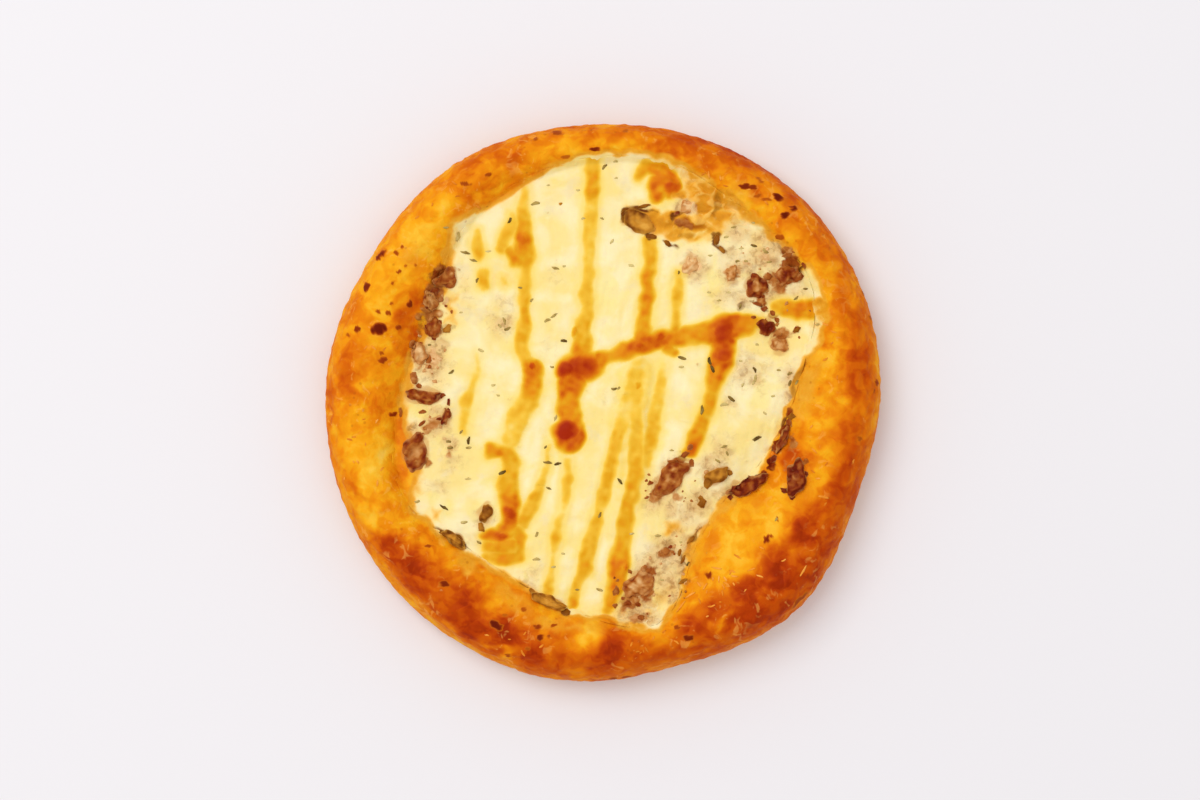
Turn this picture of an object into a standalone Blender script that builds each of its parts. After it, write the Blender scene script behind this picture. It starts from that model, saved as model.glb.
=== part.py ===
"""A personal-size baked pizza with a tall bready rim, in metres, +Z up, resting on z = 0.

The nodes are the bread, the cheese that fills its well (with browned stripes and herb flecks fused on),
and each larger piece of minced meat or mushroom. Tables are in millimetres, and angles in degrees
counter-clockwise from +X as seen from above. Each topping is trimmed by the bare surface it lies on, so
it keeps its own clearance of GAP.
"""

import math

import bmesh
import bpy
import numpy as np

MM = 0.001
GAP = 0.3  # clearance between any two nodes

# Bread: a bun-like rim round a shallow well.
AROUND = 84  # facets round the pizza
OUTER = 98.2
OUTER_LOBES = ((45, 38, 3.4), (118, 16, 1.6), (150, 14, -1.2), (245, 28, 1.6), (284, 12, -1.6),
               (314, 14, 2.6), (342, 14, -2.0))
CREST_INSET = 12.5  # from the outside in to the top of the rim
CREST_INSET_LOBES = ((86, 26, -4.5), (118, 14, -2.5), (225, 20, 1.5), (310, 25, -1.0))
CREST_TOP = 25.0
CREST_TOP_LOBES = ((86, 34, -3.0), (150, 18, 0.8), (205, 22, -1.2), (310, 32, 1.6), (20, 20, 0.6))
WIDEST = 9.0  # height at which the rim is widest
WIDEST_LOBES = ((225, 22, -3.0), (20, 30, 1.0))
UNDER = 6.5  # how far the base is tucked in below the widest line
FLOOR = 11.5  # top of the bread under the cheese
BANK = 2.2  # how quickly the inner bank rises

# Cheese: its edge, and the level in the middle.
CHEESE_EDGE = ((0, 67), (12, 72), (20, 80), (32, 86), (45, 84.5), (60, 84.5), (75, 89), (92, 86.5),
               (105, 84.5), (117, 82), (128, 79), (141, 73), (155, 68), (170, 69.5), (185, 73.5),
               (200, 78), (213, 76), (226, 69), (240, 68.5), (254, 71), (268, 75.5), (280, 80.5),
               (288, 81), (297, 64), (308, 57), (322, 54), (338, 59), (350, 63))
CHEESE_LEVEL = 16.6
CHEESE_LIP = 0.9  # thickness where the cheese runs out on the bank
FOOT = 5.0  # width of the strip of bank under the cheese

# Browned stripes: (x, y, half width) along each.
STRIPE_RISE = 0.36  # height over half width
STRIPES = (
    ((-3.9, 82, 1.4), (-3.3, 74.7, 2.6), (-3.6, 62, 1.8), (-4.3, 50, 1.6), (-4.3, 39, 1.7), (-7.2, 27, 2.0),
     (-9.9, 13, 4.4)),
    ((-26.4, 75, 1.3), (-27.2, 66, 1.9), (-27.0, 58, 2.9), (-27.0, 48.6, 1.9), (-26.0, 39, 1.7),
     (-28.3, 26, 1.7), (-27.3, 18, 1.9), (-24.4, 12, 3.0), (-25.3, 4.4, 2.0), (-29.3, -3.6, 1.8),
     (-33.3, -13, 1.8), (-35, -17.7, 2.2), (-34, -25, 1.9), (-32.7, -34, 2.3), (-33.5, -42, 2.2),
     (-33.8, -51, 5.0)),
    ((-34.3, 62, 1.2), (-35.3, 53, 1.5)),
    ((-42.7, 60, 1.2), (-43.1, 52.6, 1.3)),
    ((-43.4, 45.2, 2.0), (-42.2, 43.6, 2.0)),
    ((17.8, 56, 1.4), (15.5, 46, 1.7), (14.9, 35, 1.7), (13.5, 26, 1.8), (12.2, 19, 1.8), (11.1, 9.8, 1.7),
     (8.8, 0.4, 1.6), (5.8, -9, 1.6), (4.2, -18.3, 1.6), (1.7, -27.7, 1.6), (0.1, -38.4, 1.6),
     (-3.6, -47.8, 1.6), (-5.9, -58.5, 1.7), (-8.6, -68, 1.5)),
    ((27.8, 44, 1.2), (26.9, 36.6, 1.5), (24.9, 26, 1.6), (22.6, 18, 1.7), (20.9, 9.8, 1.7), (18.2, 0.4, 1.6),
     (15.5, -9, 1.7), (14.2, -18.3, 1.7), (12.2, -27.7, 1.6), (10.2, -38.4, 1.8), (7.8, -50.5, 2.0),
     (3.6, -61, 2.2), (2.0, -71, 1.8)),
    ((49.5, 28.5, 1.8), (44.3, 27.2, 3.6), (33.6, 25.6, 2.0), (22.9, 22.5, 2.0), (14.9, 19.8, 1.9),
     (6.8, 17.1, 2.0), (-1.2, 14.5, 2.2), (-9.9, 12.5, 4.0)),
    ((44.3, 26, 3.0), (42.7, 17.8, 2.4), (39.6, 9.8, 2.1), (37.6, 0.4, 1.7), (35.6, -9, 1.6), (34.2, -15, 1.4)),
    ((-9.9, 12.5, 4.2), (-10.8, 4.4, 2.0), (-11.6, -4.5, 2.0)),
    ((-42.4, 17.8, 1.3), (-44, 9.8, 1.5), (-46.7, 2.4, 1.6), (-48.6, -2.3, 1.9), (-48.9, -10.3, 1.4)),
    ((-20, -18.3, 1.2), (-22, -27.7, 1.5), (-25.3, -37.1, 1.5), (-26.8, -45, 1.7)),
    ((-11.2, -19.7, 1.2), (-11.9, -30.4, 1.5), (-15.7, -46.5, 1.5), (-16.6, -54.5, 1.5), (-17.5, -62, 1.3)),
    ((17.5, 79.5, 2.8), (22.5, 77.5, 3.8), (26.6, 75.2, 2.2)),
    ((22, 59.5, 1.2), (26.5, 62.5, 1.7), (32, 60, 1.6), (35.5, 57.5, 1.2)),
    ((64.5, 33.4, 1.8), (69, 33.2, 2.3), (73, 33, 1.6)),
)
DROP = (-11.8, -11.4, 5.2)  # the round browned drop at the end of one stripe

# Herb flecks on the cheese: (x, y, half length, turn); the rest are scattered from a fixed seed.
FLECKS = ((1.5, 83.3, 1.3, 70), (-23.3, 70.3, 1.5, 10), (-32.3, 64.4, 1.4, 60), (-17.3, 47.5, 1.6, 20),
          (-13.5, 22.1, 1.4, -20), (4.4, 5.1, 1.9, 5), (-19.5, -15.7, 1.2, 80), (-18.6, -21.6, 1.3, 30),
          (-15.5, -21.2, 1.6, -15), (-18.6, -29.7, 1.2, 0), (-55.8, -36.4, 1.7, -25), (-46.7, -13, 1.8, 75),
          (6.3, -27, 1.7, -60), (27.6, 15.8, 1.5, -30), (38.5, 13.5, 2.4, 75), (45.7, 1, 1.4, -40),
          (53.7, 11.8, 1.5, 50), (55.7, -12.3, 1.8, 40), (53.7, 55.3, 1.5, 0), (48.3, 54.6, 1.4, 60),
          (40.3, 56.6, 2.0, 70), (23.5, 56.2, 1.6, 30), (-22.5, -45, 1.3, 50), (0.2, -65.5, 1.2, 10),
          (66.5, 7.5, 1.7, 80), (-47, 51.5, 1.6, -15))
SCATTERED = 26
FLECK_RISE = 0.65

# Baked-on bits on the rim: (x, y, half length, half width, turn).
CRUST_BITS = ((-77.5, 25.2, 2.5, 2.0, 0), (-86.2, 25.8, 1.6, 1.2, 30), (-82.2, 40.6, 2.1, 1.1, 80),
              (64.4, 66.0, 1.6, 1.2, 20), (61.0, 72.2, 1.6, 1.1, -30), (54.0, 74.6, 2.6, 1.8, -25),
              (-37.0, -77.4, 2.6, 1.4, -15), (57.2, -47.4, 1.8, 1.2, 25), (37.2, -60.6, 2.0, 1.3, 0),
              (29.6, -81.6, 2.4, 1.4, 10), (-19.5, -80.5, 1.7, 1.1, 20), (-2.2, 89.0, 2.0, 1.0, 5),
              (-79.0, 51.5, 1.7, 0.9, 40), (44.5, 81.0, 1.4, 0.9, -20))

# Toppings: name, x, y, length, width, turn, height, bend, hollow.
TOPPINGS = (
    ("meat_01", -55.2, 44.2, 9.6, 6.6, 42, 2.6, 0.45, 0.9),
    ("meat_02", -60.2, 36.0, 7.4, 5.4, 100, 2.3, 0.1, 0.0),
    ("meat_03", -58.8, 26.6, 7.6, 5.6, 78, 2.5, 0.0, 0.0),
    ("meat_04", -64.2, 17.4, 8.6, 6.0, 100, 2.0, 0.1, 0.3),
    ("meat_05", -62.6, 2.6, 13.6, 5.2, -4, 2.6, 0.1, 0.0),
    ("meat_06", -55.0, -4.6, 7.0, 3.2, 78, 2.0, 0.2, 0.0),
    ("meat_07", -65.6, -17.0, 13.4, 9.0, 78, 2.4, 0.0, 1.3),
    ("meat_08", 54.3, 41.2, 8.6, 8.0, 70, 3.0, 0.1, 0.4),
    ("meat_09", 64.9, 44.9, 9.6, 7.4, 20, 3.0, 0.1, 0.0),
    ("meat_10", 57.6, 26.8, 7.6, 6.4, -20, 2.8, 0.0, 0.0),
    ("meat_11", 62.4, 20.4, 6.6, 5.0, -35, 2.0, 0.0, 0.3),
    ("meat_12", 24.2, -26.4, 14.6, 8.6, 42, 3.0, -0.1, 0.5),
    ("meat_13", 51.4, -28.6, 14.6, 5.6, 24, 2.8, 0.15, 0.0),
    ("meat_14", 63.0, -13.0, 11.0, 3.4, 66, 1.8, 0.1, 0.0),
    ("meat_15", 67.8, -26.0, 13.4, 7.2, 76, 2.8, 0.0, 0.6),
    ("meat_16", 12.6, -63.6, 13.0, 8.8, 38, 2.4, 0.1, 0.4),
    ("meat_17", 30.9, 48.4, 7.6, 5.6, 70, 1.6, 0.0, 0.3),
    ("meat_18", 45.6, 45.6, 6.0, 4.6, 60, 1.9, 0.0, 0.0),
    ("meat_19", 30.0, 69.4, 7.0, 5.4, 30, 1.6, 0.0, 0.3),
    ("mushroom_01", 12.9, 63.5, 11.6, 7.4, -32, 1.9, -0.1, 1.1),
    ("mushroom_02", 40.6, -25.2, 9.4, 5.4, 25, 1.8, 0.1, 0.3),
    ("mushroom_03", -18.8, -69.4, 13.6, 4.2, -22, 1.7, 0.05, 0.0),
    ("mushroom_04", -52.0, -47.6, 10.6, 3.8, -34, 1.6, 0.1, 0.0),
    ("mushroom_05", -41.0, -38.6, 7.4, 4.4, 75, 1.6, 0.1, 0.3),
)

COLOURS = {
    "crust": (0.66, 0.30, 0.05),
    "cheese": (0.92, 0.80, 0.47),
    "meat": (0.23, 0.07, 0.03),
    "mushroom": (0.33, 0.22, 0.09),
}


def swell(angle, lobes):
    """The sum of smooth lobes (angle, width, amount) at each angle."""
    total = np.zeros_like(angle)
    for centre, width, amount in lobes:
        away = (angle - centre + 180) % 360 - 180
        total = total + amount * np.exp(-(away / width) ** 2)
    return total


def around(angle, knots):
    """A value at each angle from knots all the way round, with the corners smoothed off."""
    at, value = np.array(knots, float).T
    nearby = angle[..., None] + np.array((-8.0, -4.0, 0.0, 4.0, 8.0))
    return np.interp(nearby, at, value, period=360) @ np.array((1, 2, 3, 2, 1)) / 9


def lines_of(angle):
    """Radii of the foot of the bank, the cheese's edge, the top of the rim and the outside."""
    outer = OUTER + swell(angle, OUTER_LOBES)
    edge = around(angle, CHEESE_EDGE)
    crest = outer - CREST_INSET - swell(angle, CREST_INSET_LOBES)
    return edge - FOOT, edge, crest, outer


def lumps(radius, angle):
    """Low swellings of baked dough."""
    turn = np.radians(angle)
    x, y = radius * np.cos(turn), radius * np.sin(turn)
    return 0.4 * np.sin(0.13 * x + 0.05 * y + 1.0) * np.sin(0.11 * y - 0.04 * x + 2.0) + 0.22 * np.sin(
        0.29 * x + 0.9) * np.sin(0.31 * y + 2.3)


def bank(radius, angle):
    """Height of the bread from the well up to the top of its rim."""
    foot, _, crest, _ = lines_of(angle)
    share = np.clip((radius - foot) / (crest - foot), 0, 1)
    top = CREST_TOP + swell(angle, CREST_TOP_LOBES)
    rise = 1 - (1 - share) ** BANK
    return FLOOR + (top - FLOOR) * rise + lumps(radius, angle) * rise


def bread(radius, angle):
    """Height of the bread's upper face anywhere."""
    _, _, crest, outer = lines_of(angle)
    widest = WIDEST + swell(angle, WIDEST_LOBES)
    share = np.clip((radius - crest) / (outer - crest), 0, 1)
    over = widest + (bank(crest, angle) - widest) * np.sqrt(1 - share**2)
    return np.where(radius < crest, bank(radius, angle), over)


def cheese(radius, angle):
    """Height of the cheese's upper face: level in the middle, then a thin layer up the bank."""
    edge = lines_of(angle)[1]
    turn = np.radians(angle)
    x, y = radius * np.cos(turn), radius * np.sin(turn)
    level = CHEESE_LEVEL + 0.35 * np.sin(0.16 * x + 0.06 * y) * np.sin(0.13 * y - 0.05 * x + 0.7) + 0.2 * np.sin(
        0.34 * x + 1.2) * np.sin(0.27 * y + 0.4)
    thin = bank(radius, angle) + GAP + CHEESE_LIP
    full = 0.5 * (level + thin + np.sqrt((level - thin) ** 2 + 1.0))
    base = bank(radius, angle) + GAP
    lip = np.clip((edge - radius) / 2.4, 0, 1)
    return base + (full - base) * np.sqrt(1 - (1 - lip) ** 2)


def surface(x, y):
    """Height of the bare pizza at a point."""
    radius, angle = np.hypot(x, y), np.degrees(np.arctan2(y, x))
    on_cheese = radius < lines_of(angle)[1]
    return np.where(on_cheese, cheese(radius, angle), bread(radius, angle))


def laid(x, y, tall):
    """Height of a point this far above or below the surface, kept from breaking through thin cheese."""
    radius, angle = np.hypot(x, y), np.degrees(np.arctan2(y, x))
    thick = cheese(radius, angle) - bank(radius, angle) - GAP
    deepest = np.where(radius < lines_of(angle)[1], np.minimum(0.6 * thick, 0.6), 0.6)
    return surface(x, y) + np.maximum(tall, -deepest)


def rim_rows(angle, lift):
    """Section rows of the bread from just outside the cheese's edge to the middle of the base."""
    _, edge, crest, outer = lines_of(angle)
    top, widest = bank(crest, angle), WIDEST + swell(angle, WIDEST_LOBES)
    rows = []
    for share in np.linspace(0, 1, 9)[1:]:
        radius = edge + (crest - edge) * share
        rows.append((radius, bank(radius, angle) + lift))
    for turn in np.radians((14, 28, 42, 56, 72, 90)):
        rows.append((crest + (outer - crest) * np.sin(turn) + lift, widest + (top - widest) * np.cos(turn) + lift))
    for turn in np.radians((30, 60, 90)):
        rows.append((outer - UNDER * (1 - np.cos(turn)) + lift, widest * (1 - np.sin(turn)) - lift))
    rows.append((0 * edge, 0 * edge - lift))
    return rows


def cheese_rows(angle, lift):
    """Section rows of the cheese's upper face from the middle out to just inside its edge."""
    edge = lines_of(angle)[1]
    rows = [(0 * edge, cheese(0 * edge, 0 * edge) + lift)]
    for share in (0.13, 0.26, 0.38, 0.5, 0.61, 0.71, 0.8, 0.87):
        rows.append((edge * share, cheese(edge * share, angle) + lift))
    for inside in (5.0, 2.2, 0.7):
        rows.append((edge - inside, cheese(edge - inside, angle) + lift))
    return rows


def crust_section(angle):
    foot, edge, _, _ = lines_of(angle)
    well = [(0 * foot, FLOOR + 0 * foot), (foot, FLOOR + 0 * foot), (edge, bank(edge, angle))]
    return well + rim_rows(angle, 0.0)


def cheese_section(angle):
    foot, edge, _, _ = lines_of(angle)
    under = [(edge, bank(edge, angle) + GAP), (foot, FLOOR + GAP + 0 * foot), (0 * foot, FLOOR + GAP + 0 * foot)]
    return cheese_rows(angle, 0.0) + under


def bed_section(angle):
    """The whole bare pizza, one clearance larger, as the cutter that trims the toppings."""
    edge = lines_of(angle)[1]
    return cheese_rows(angle, GAP) + [(edge, bank(edge, angle) + 2 * GAP)] + rim_rows(angle, GAP)


def material(name, kind, roughness):
    made = bpy.data.materials.new(name)
    made.use_nodes = True
    principled = made.node_tree.nodes["Principled BSDF"]
    principled.inputs["Base Color"].default_value = (*COLOURS[kind], 1)
    principled.inputs["Roughness"].default_value = roughness
    return made


def placed(name, mesh, collection):
    thing = bpy.data.objects.new(name, mesh)
    collection.objects.link(thing)
    return thing


def mesh_of(name, bm):
    mesh = bpy.data.meshes.new(name)
    bm.to_mesh(mesh)
    bm.free()
    return mesh


def coordinates(mesh):
    flat = np.empty(len(mesh.vertices) * 3, np.float32)
    mesh.vertices.foreach_get("co", flat)
    return flat.reshape(-1, 3).astype(float)


def reshape(mesh, points):
    mesh.vertices.foreach_set("co", (points * MM).astype(np.float32).ravel())
    mesh.update()


def turned(name, section, collection):
    """A ball whose latitudes are carried to the rows of a section, which varies round the pizza."""
    rows = len(section(np.zeros(1)))
    bm = bmesh.new()
    bmesh.ops.create_uvsphere(bm, u_segments=AROUND, v_segments=rows - 1, radius=1.0)
    mesh = mesh_of(name, bm)
    x, y, z = coordinates(mesh).T
    angle = np.degrees(np.arctan2(y, x))
    row = np.rint(np.arccos(np.clip(z, -1, 1)) / math.pi * (rows - 1)).astype(int)
    radius, height = np.array(section(angle)).transpose(1, 0, 2)
    here = np.arange(len(angle))
    turn = np.radians(angle)
    flat = radius[row, here]
    reshape(mesh, np.stack((flat * np.cos(turn), flat * np.sin(turn), height[row, here]), axis=1))
    bm = bmesh.new()
    bm.from_mesh(mesh)
    bmesh.ops.triangulate(bm, faces=bm.faces, quad_method="SHORT_EDGE")
    bm.to_mesh(mesh)
    bm.free()
    return placed(name, mesh, collection)


def pebble(name, x, y, half, turn, rise, collection, detail=1):
    """A small flattened ball, half sunk in the surface at a point."""
    bm = bmesh.new()
    bmesh.ops.create_icosphere(bm, subdivisions=detail, radius=1.0)
    mesh = mesh_of(name, bm)
    u, v, w = coordinates(mesh).T
    c, s = math.cos(math.radians(turn)), math.sin(math.radians(turn))
    px = x + c * u * half[0] - s * v * half[1]
    py = y + s * u * half[0] + c * v * half[1]
    reshape(mesh, np.stack((px, py, laid(px, py, w * rise)), axis=1))
    return placed(name, mesh, collection)


def stripe(name, knots, collection):
    """A drizzled line: a round bevelled curve, pressed flat onto the cheese."""
    curve = bpy.data.curves.new(name, "CURVE")
    curve.dimensions = "3D"
    curve.bevel_depth = MM
    curve.bevel_resolution = 1
    curve.use_fill_caps = True
    spline = curve.splines.new("POLY")
    spline.points.add(len(knots) - 1)
    for point, (x, y, half) in zip(spline.points, knots):
        point.co = (x * MM, y * MM, 0, 1)
        point.radius = half
    source = placed(name + "_line", curve, collection)
    graph = bpy.context.evaluated_depsgraph_get()
    mesh = bpy.data.meshes.new_from_object(source.evaluated_get(graph))
    bpy.data.objects.remove(source)
    bm = bmesh.new()
    bm.from_mesh(mesh)
    bmesh.ops.remove_doubles(bm, verts=bm.verts, dist=1e-6)
    bmesh.ops.recalc_face_normals(bm, faces=bm.faces)
    bm.to_mesh(mesh)
    bm.free()
    x, y, z = coordinates(mesh).T / MM
    reshape(mesh, np.stack((x, y, laid(x, y, STRIPE_RISE * z)), axis=1))
    return placed(name, mesh, collection)


def topping(name, x, y, length, width, turn, height, bend, hollow, collection):
    """A lumpy piece, longer than wide, bent and dished as asked, half sunk in the surface."""
    bm = bmesh.new()
    bmesh.ops.create_uvsphere(bm, u_segments=12, v_segments=7, radius=1.0)
    mesh = mesh_of(name, bm)
    u, v, w = coordinates(mesh).T
    seed = x * 1.7 + y * 0.9
    lump = 1 + 0.10 * np.sin(3.0 * u + 2.0 * v + seed) + 0.08 * np.sin(5.0 * v - 3.5 * u + 2.1 * seed)
    along = u * lump * length / 2
    across = v * lump * width / 2 + bend * (u**2 - 0.5) * length / 2
    dish = hollow * np.exp(-(u**2 + v**2) / 0.3) * (w > 0)
    tall = w * height * (1 + 0.18 * np.sin(4.0 * u + 3.0 * v + seed)) - dish
    c, s = math.cos(math.radians(turn)), math.sin(math.radians(turn))
    px, py = x + c * along - s * across, y + s * along + c * across
    reshape(mesh, np.stack((px, py, surface(px, py) + tall), axis=1))
    return placed(name, mesh, collection)


def baked(thing, operation, solver, other):
    """Applies one Boolean with a collection to an object, leaving a plain mesh."""
    cut = thing.modifiers.new("join", "BOOLEAN")
    cut.operation = operation
    cut.operand_type = "COLLECTION"
    cut.collection = other
    cut.solver = solver
    graph = bpy.context.evaluated_depsgraph_get()
    mesh = bpy.data.meshes.new_from_object(thing.evaluated_get(graph))
    thing.modifiers.clear()
    mesh.name = thing.name
    thing.data = mesh


def emptied(collection):
    for thing in list(collection.objects):
        bpy.data.objects.remove(thing)


for leftover in list(bpy.data.objects):
    bpy.data.objects.remove(leftover)
scene = bpy.context.scene
pizza = bpy.data.collections.new("baked_pizza")
scene.collection.children.link(pizza)
helpers = {}
for label in ("bed_cutter", "crust_bits", "cheese_bits"):
    helpers[label] = bpy.data.collections.new(label)
    scene.collection.children.link(helpers[label])

# The bread, with the crumbs baked onto its rim.
crust = turned("crust", crust_section, pizza)
for number, (x, y, long, wide, turn) in enumerate(CRUST_BITS):
    pebble(f"bit_{number}", x, y, (long, wide), turn, 0.9, helpers["crust_bits"])
baked(crust, "UNION", "MANIFOLD", helpers["crust_bits"])
emptied(helpers["crust_bits"])

# The cheese, with its stripes, one browned drop and the herbs.
melted = turned("cheese", cheese_section, pizza)
for number, knots in enumerate(STRIPES):
    stripe(f"stripe_{number}", knots, helpers["cheese_bits"])
pebble("drop", DROP[0], DROP[1], (DROP[2], DROP[2]), 0, 1.5, helpers["cheese_bits"], detail=2)
for number, (x, y, long, turn) in enumerate(FLECKS):
    pebble(f"fleck_{number}", x, y, (long, 0.6 * long), turn, FLECK_RISE, helpers["cheese_bits"])
chance = np.random.default_rng(7)
taken = [(x, y, length / 2 + 2.2) for _, x, y, length, *_ in TOPPINGS]
taken += [(x, y, 4.0) for x, y, *_ in FLECKS]
count = 0
while count < SCATTERED:
    angle, share = chance.uniform(0, 360), math.sqrt(chance.uniform(0.02, 0.86))
    radius = share * float(lines_of(np.array([angle]))[1][0])
    x, y = radius * math.cos(math.radians(angle)), radius * math.sin(math.radians(angle))
    long, turn = chance.uniform(0.8, 1.3), chance.uniform(0, 180)
    if all(math.hypot(x - tx, y - ty) > keep for tx, ty, keep in taken):
        pebble(f"scattered_{count}", x, y, (long, 0.65 * long), turn, FLECK_RISE, helpers["cheese_bits"])
        taken.append((x, y, 5.0))
        count += 1
baked(melted, "UNION", "MANIFOLD", helpers["cheese_bits"])
emptied(helpers["cheese_bits"])

# Pieces of minced meat and mushroom, each trimmed by the bare surface below it.
bed = turned("bed", bed_section, helpers["bed_cutter"])
bed.hide_render = True
bed.display_type = "WIRE"
pieces = []
for name, *rest in TOPPINGS:
    piece = topping(name, *rest, pizza)
    baked(piece, "DIFFERENCE", "MANIFOLD", helpers["bed_cutter"])
    pieces.append(piece)
emptied(helpers["bed_cutter"])
for collection in helpers.values():
    bpy.data.collections.remove(collection)

crust.data.materials.clear()
crust.data.materials.append(material("crust", "crust", 0.62))
melted.data.materials.clear()
melted.data.materials.append(material("cheese", "cheese", 0.42))
for piece in pieces:
    kind = piece.name.split("_")[0]
    piece.data.materials.clear()
    piece.data.materials.append(material(piece.name, kind, 0.5))
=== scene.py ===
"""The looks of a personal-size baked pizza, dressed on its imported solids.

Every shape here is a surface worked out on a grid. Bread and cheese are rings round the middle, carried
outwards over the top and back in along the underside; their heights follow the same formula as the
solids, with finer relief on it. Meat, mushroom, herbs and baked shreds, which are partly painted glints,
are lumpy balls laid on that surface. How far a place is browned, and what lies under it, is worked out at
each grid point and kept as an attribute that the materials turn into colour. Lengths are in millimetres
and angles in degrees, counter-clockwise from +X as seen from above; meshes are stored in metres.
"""

import math

import bpy
import numpy as np
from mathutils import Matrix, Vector


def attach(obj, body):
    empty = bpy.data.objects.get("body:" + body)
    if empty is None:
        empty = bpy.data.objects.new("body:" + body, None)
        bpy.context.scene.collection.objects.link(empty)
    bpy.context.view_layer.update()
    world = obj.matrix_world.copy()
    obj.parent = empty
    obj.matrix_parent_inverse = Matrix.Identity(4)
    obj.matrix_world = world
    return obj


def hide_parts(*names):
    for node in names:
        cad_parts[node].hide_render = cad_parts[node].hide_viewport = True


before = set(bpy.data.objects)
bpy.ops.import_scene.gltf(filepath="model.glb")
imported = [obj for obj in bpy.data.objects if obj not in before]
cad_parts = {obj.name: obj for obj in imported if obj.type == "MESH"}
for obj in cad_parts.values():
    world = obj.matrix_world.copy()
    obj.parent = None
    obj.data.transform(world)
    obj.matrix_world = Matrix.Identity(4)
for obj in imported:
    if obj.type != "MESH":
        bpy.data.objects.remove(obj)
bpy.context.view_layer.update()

# ---------------------------------------------------------------- table, light and camera
# A plain pale table top, seen from straight above, under one large soft light at the upper left
# and an even white surround.

MM = 0.001
SHOWN_WIDTH = 420.0  # width of the table that the frame shows at the height of the rim
RIM_HEIGHT = 22.0
CAMERA_HEIGHT = 1300.0
AIM = (-0.7, 1.2)
LIGHT_PLACE = (-950.0, 820.0, 2250.0)
LIGHT_SIZE = 1500.0
LIGHT_WATTS = 25.0
SURROUND_COLOUR = (1.0, 0.99, 0.985)
SURROUND_STRENGTH = 0.765
TABLE_COLOUR = (0.85, 0.83, 0.855)
TABLE_REACH = 3000.0  # from the middle to each edge

scene = bpy.context.scene
scene.view_settings.view_transform = "Standard"
scene.view_settings.look = "None"

surround = bpy.data.worlds.new("surround")
surround.use_nodes = True
surround.node_tree.nodes["Background"].inputs["Color"].default_value = (*SURROUND_COLOUR, 1)
surround.node_tree.nodes["Background"].inputs["Strength"].default_value = SURROUND_STRENGTH
scene.world = surround

lamp = bpy.data.lights.new("soft_light", "AREA")
lamp.size = LIGHT_SIZE * MM
lamp.energy = LIGHT_WATTS
lamp_object = bpy.data.objects.new("soft_light", lamp)
lamp_object.location = Vector(LIGHT_PLACE) * MM
lamp_object.rotation_euler = (-Vector(LIGHT_PLACE)).to_track_quat("-Z", "Y").to_euler()
scene.collection.objects.link(lamp_object)

view = bpy.data.cameras.new("camera")
view.sensor_fit = "HORIZONTAL"
view.angle = 2 * math.atan(SHOWN_WIDTH / 2 / (CAMERA_HEIGHT - RIM_HEIGHT))
view_object = bpy.data.objects.new("camera", view)
view_object.location = (AIM[0] * MM, AIM[1] * MM, CAMERA_HEIGHT * MM)
scene.collection.objects.link(view_object)
scene.camera = view_object

table_mesh = bpy.data.meshes.new("table")
reach = TABLE_REACH * MM
corners = [(-reach, -reach, 0), (reach, -reach, 0), (reach, reach, 0), (-reach, reach, 0)]
table_mesh.from_pydata(corners, [], [(0, 1, 2, 3)])
table = bpy.data.objects.new("table", table_mesh)
scene.collection.objects.link(table)
table_finish = bpy.data.materials.new("table_top")
table_finish.use_nodes = True
table_shader = table_finish.node_tree.nodes["Principled BSDF"]
table_shader.inputs["Base Color"].default_value = (*TABLE_COLOUR, 1)
table_shader.inputs["Roughness"].default_value = 0.7
table_shader.inputs["Specular IOR Level"].default_value = 0.05
table_mesh.materials.append(table_finish)

# ---------------------------------------------------------------- bread
# Leavened dough baked flat on its base: a floor under the cheese and a puffy rim, browned on top, darkest
# in its -Y half and paler where its side wall rose, with creases in the skin and dark bits baked on to it.

# Radii, heights and how far they vary round the rim, as (angle, width, amount) for each swelling.
OUTER = 98.2
OUTER_LOBES = (
    (45, 38, 3.4), (118, 16, 1.6), (150, 14, -1.2), (245, 28, 1.6), (284, 12, -1.6), (314, 14, 2.6),
    (342, 14, -2.0),
)
CREST_INSET = 12.5  # from the outside in to the top of the rim
CREST_INSET_LOBES = ((86, 26, -4.5), (118, 14, -2.5), (225, 20, 1.5), (310, 25, -1.0))
CREST_TOP = 25.0
CREST_TOP_LOBES = ((86, 34, -3.0), (150, 18, 0.8), (205, 22, -1.2), (310, 32, 1.6), (20, 20, 0.6))
WIDEST = 9.0  # height of the widest line of the side
WIDEST_LOBES = ((225, 22, -3.0), (20, 30, 1.0))
UNDER = 6.5  # how far the side tucks in from there to the base
FLOOR = 11.5
BANK = 2.2  # power of the bank's curve: the higher, the steeper it starts
FOOT = 5.0  # from the cheese's edge in to the foot of the bank
# Radius of the cheese's edge, as (angle, radius).
CHEESE_EDGE = (
    (0, 67), (12, 72), (20, 80), (32, 86), (45, 84.5), (60, 84.5), (75, 89), (92, 86.5), (105, 84.5),
    (117, 82), (128, 79), (141, 73), (155, 68), (170, 69.5), (185, 73.5), (200, 78), (213, 76), (226, 69),
    (240, 68.5), (254, 71), (268, 75.5), (280, 80.5), (288, 81), (297, 64), (308, 57), (322, 54), (338, 59),
    (350, 63),
)
# Points round each ring, and rings up the bank, over the rim and under it.
BREAD_COLUMNS = 960
BANK_RINGS = 50
OVER_RINGS = 34
UNDER_RINGS = 9
# Heights on the outer side between which something sets in, as (none, full): the relief of the skin, the
# dark bits, the pale side wall and the brown of the base; and the height that creases and meat stay above.
RELIEF_BAND = (3, 14)
SPOT_BAND = (12.6, 14.2)
SIDE_BAND = (11, 6)
BASE_BAND = (3.0, 0.4)
UPPER_FROM = 5
# The skin lies this far inside the solid, and its highest relief this far above the skin.
SKIN_SINK = 0.5
HIGHEST_RELIEF = 0.25
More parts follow.
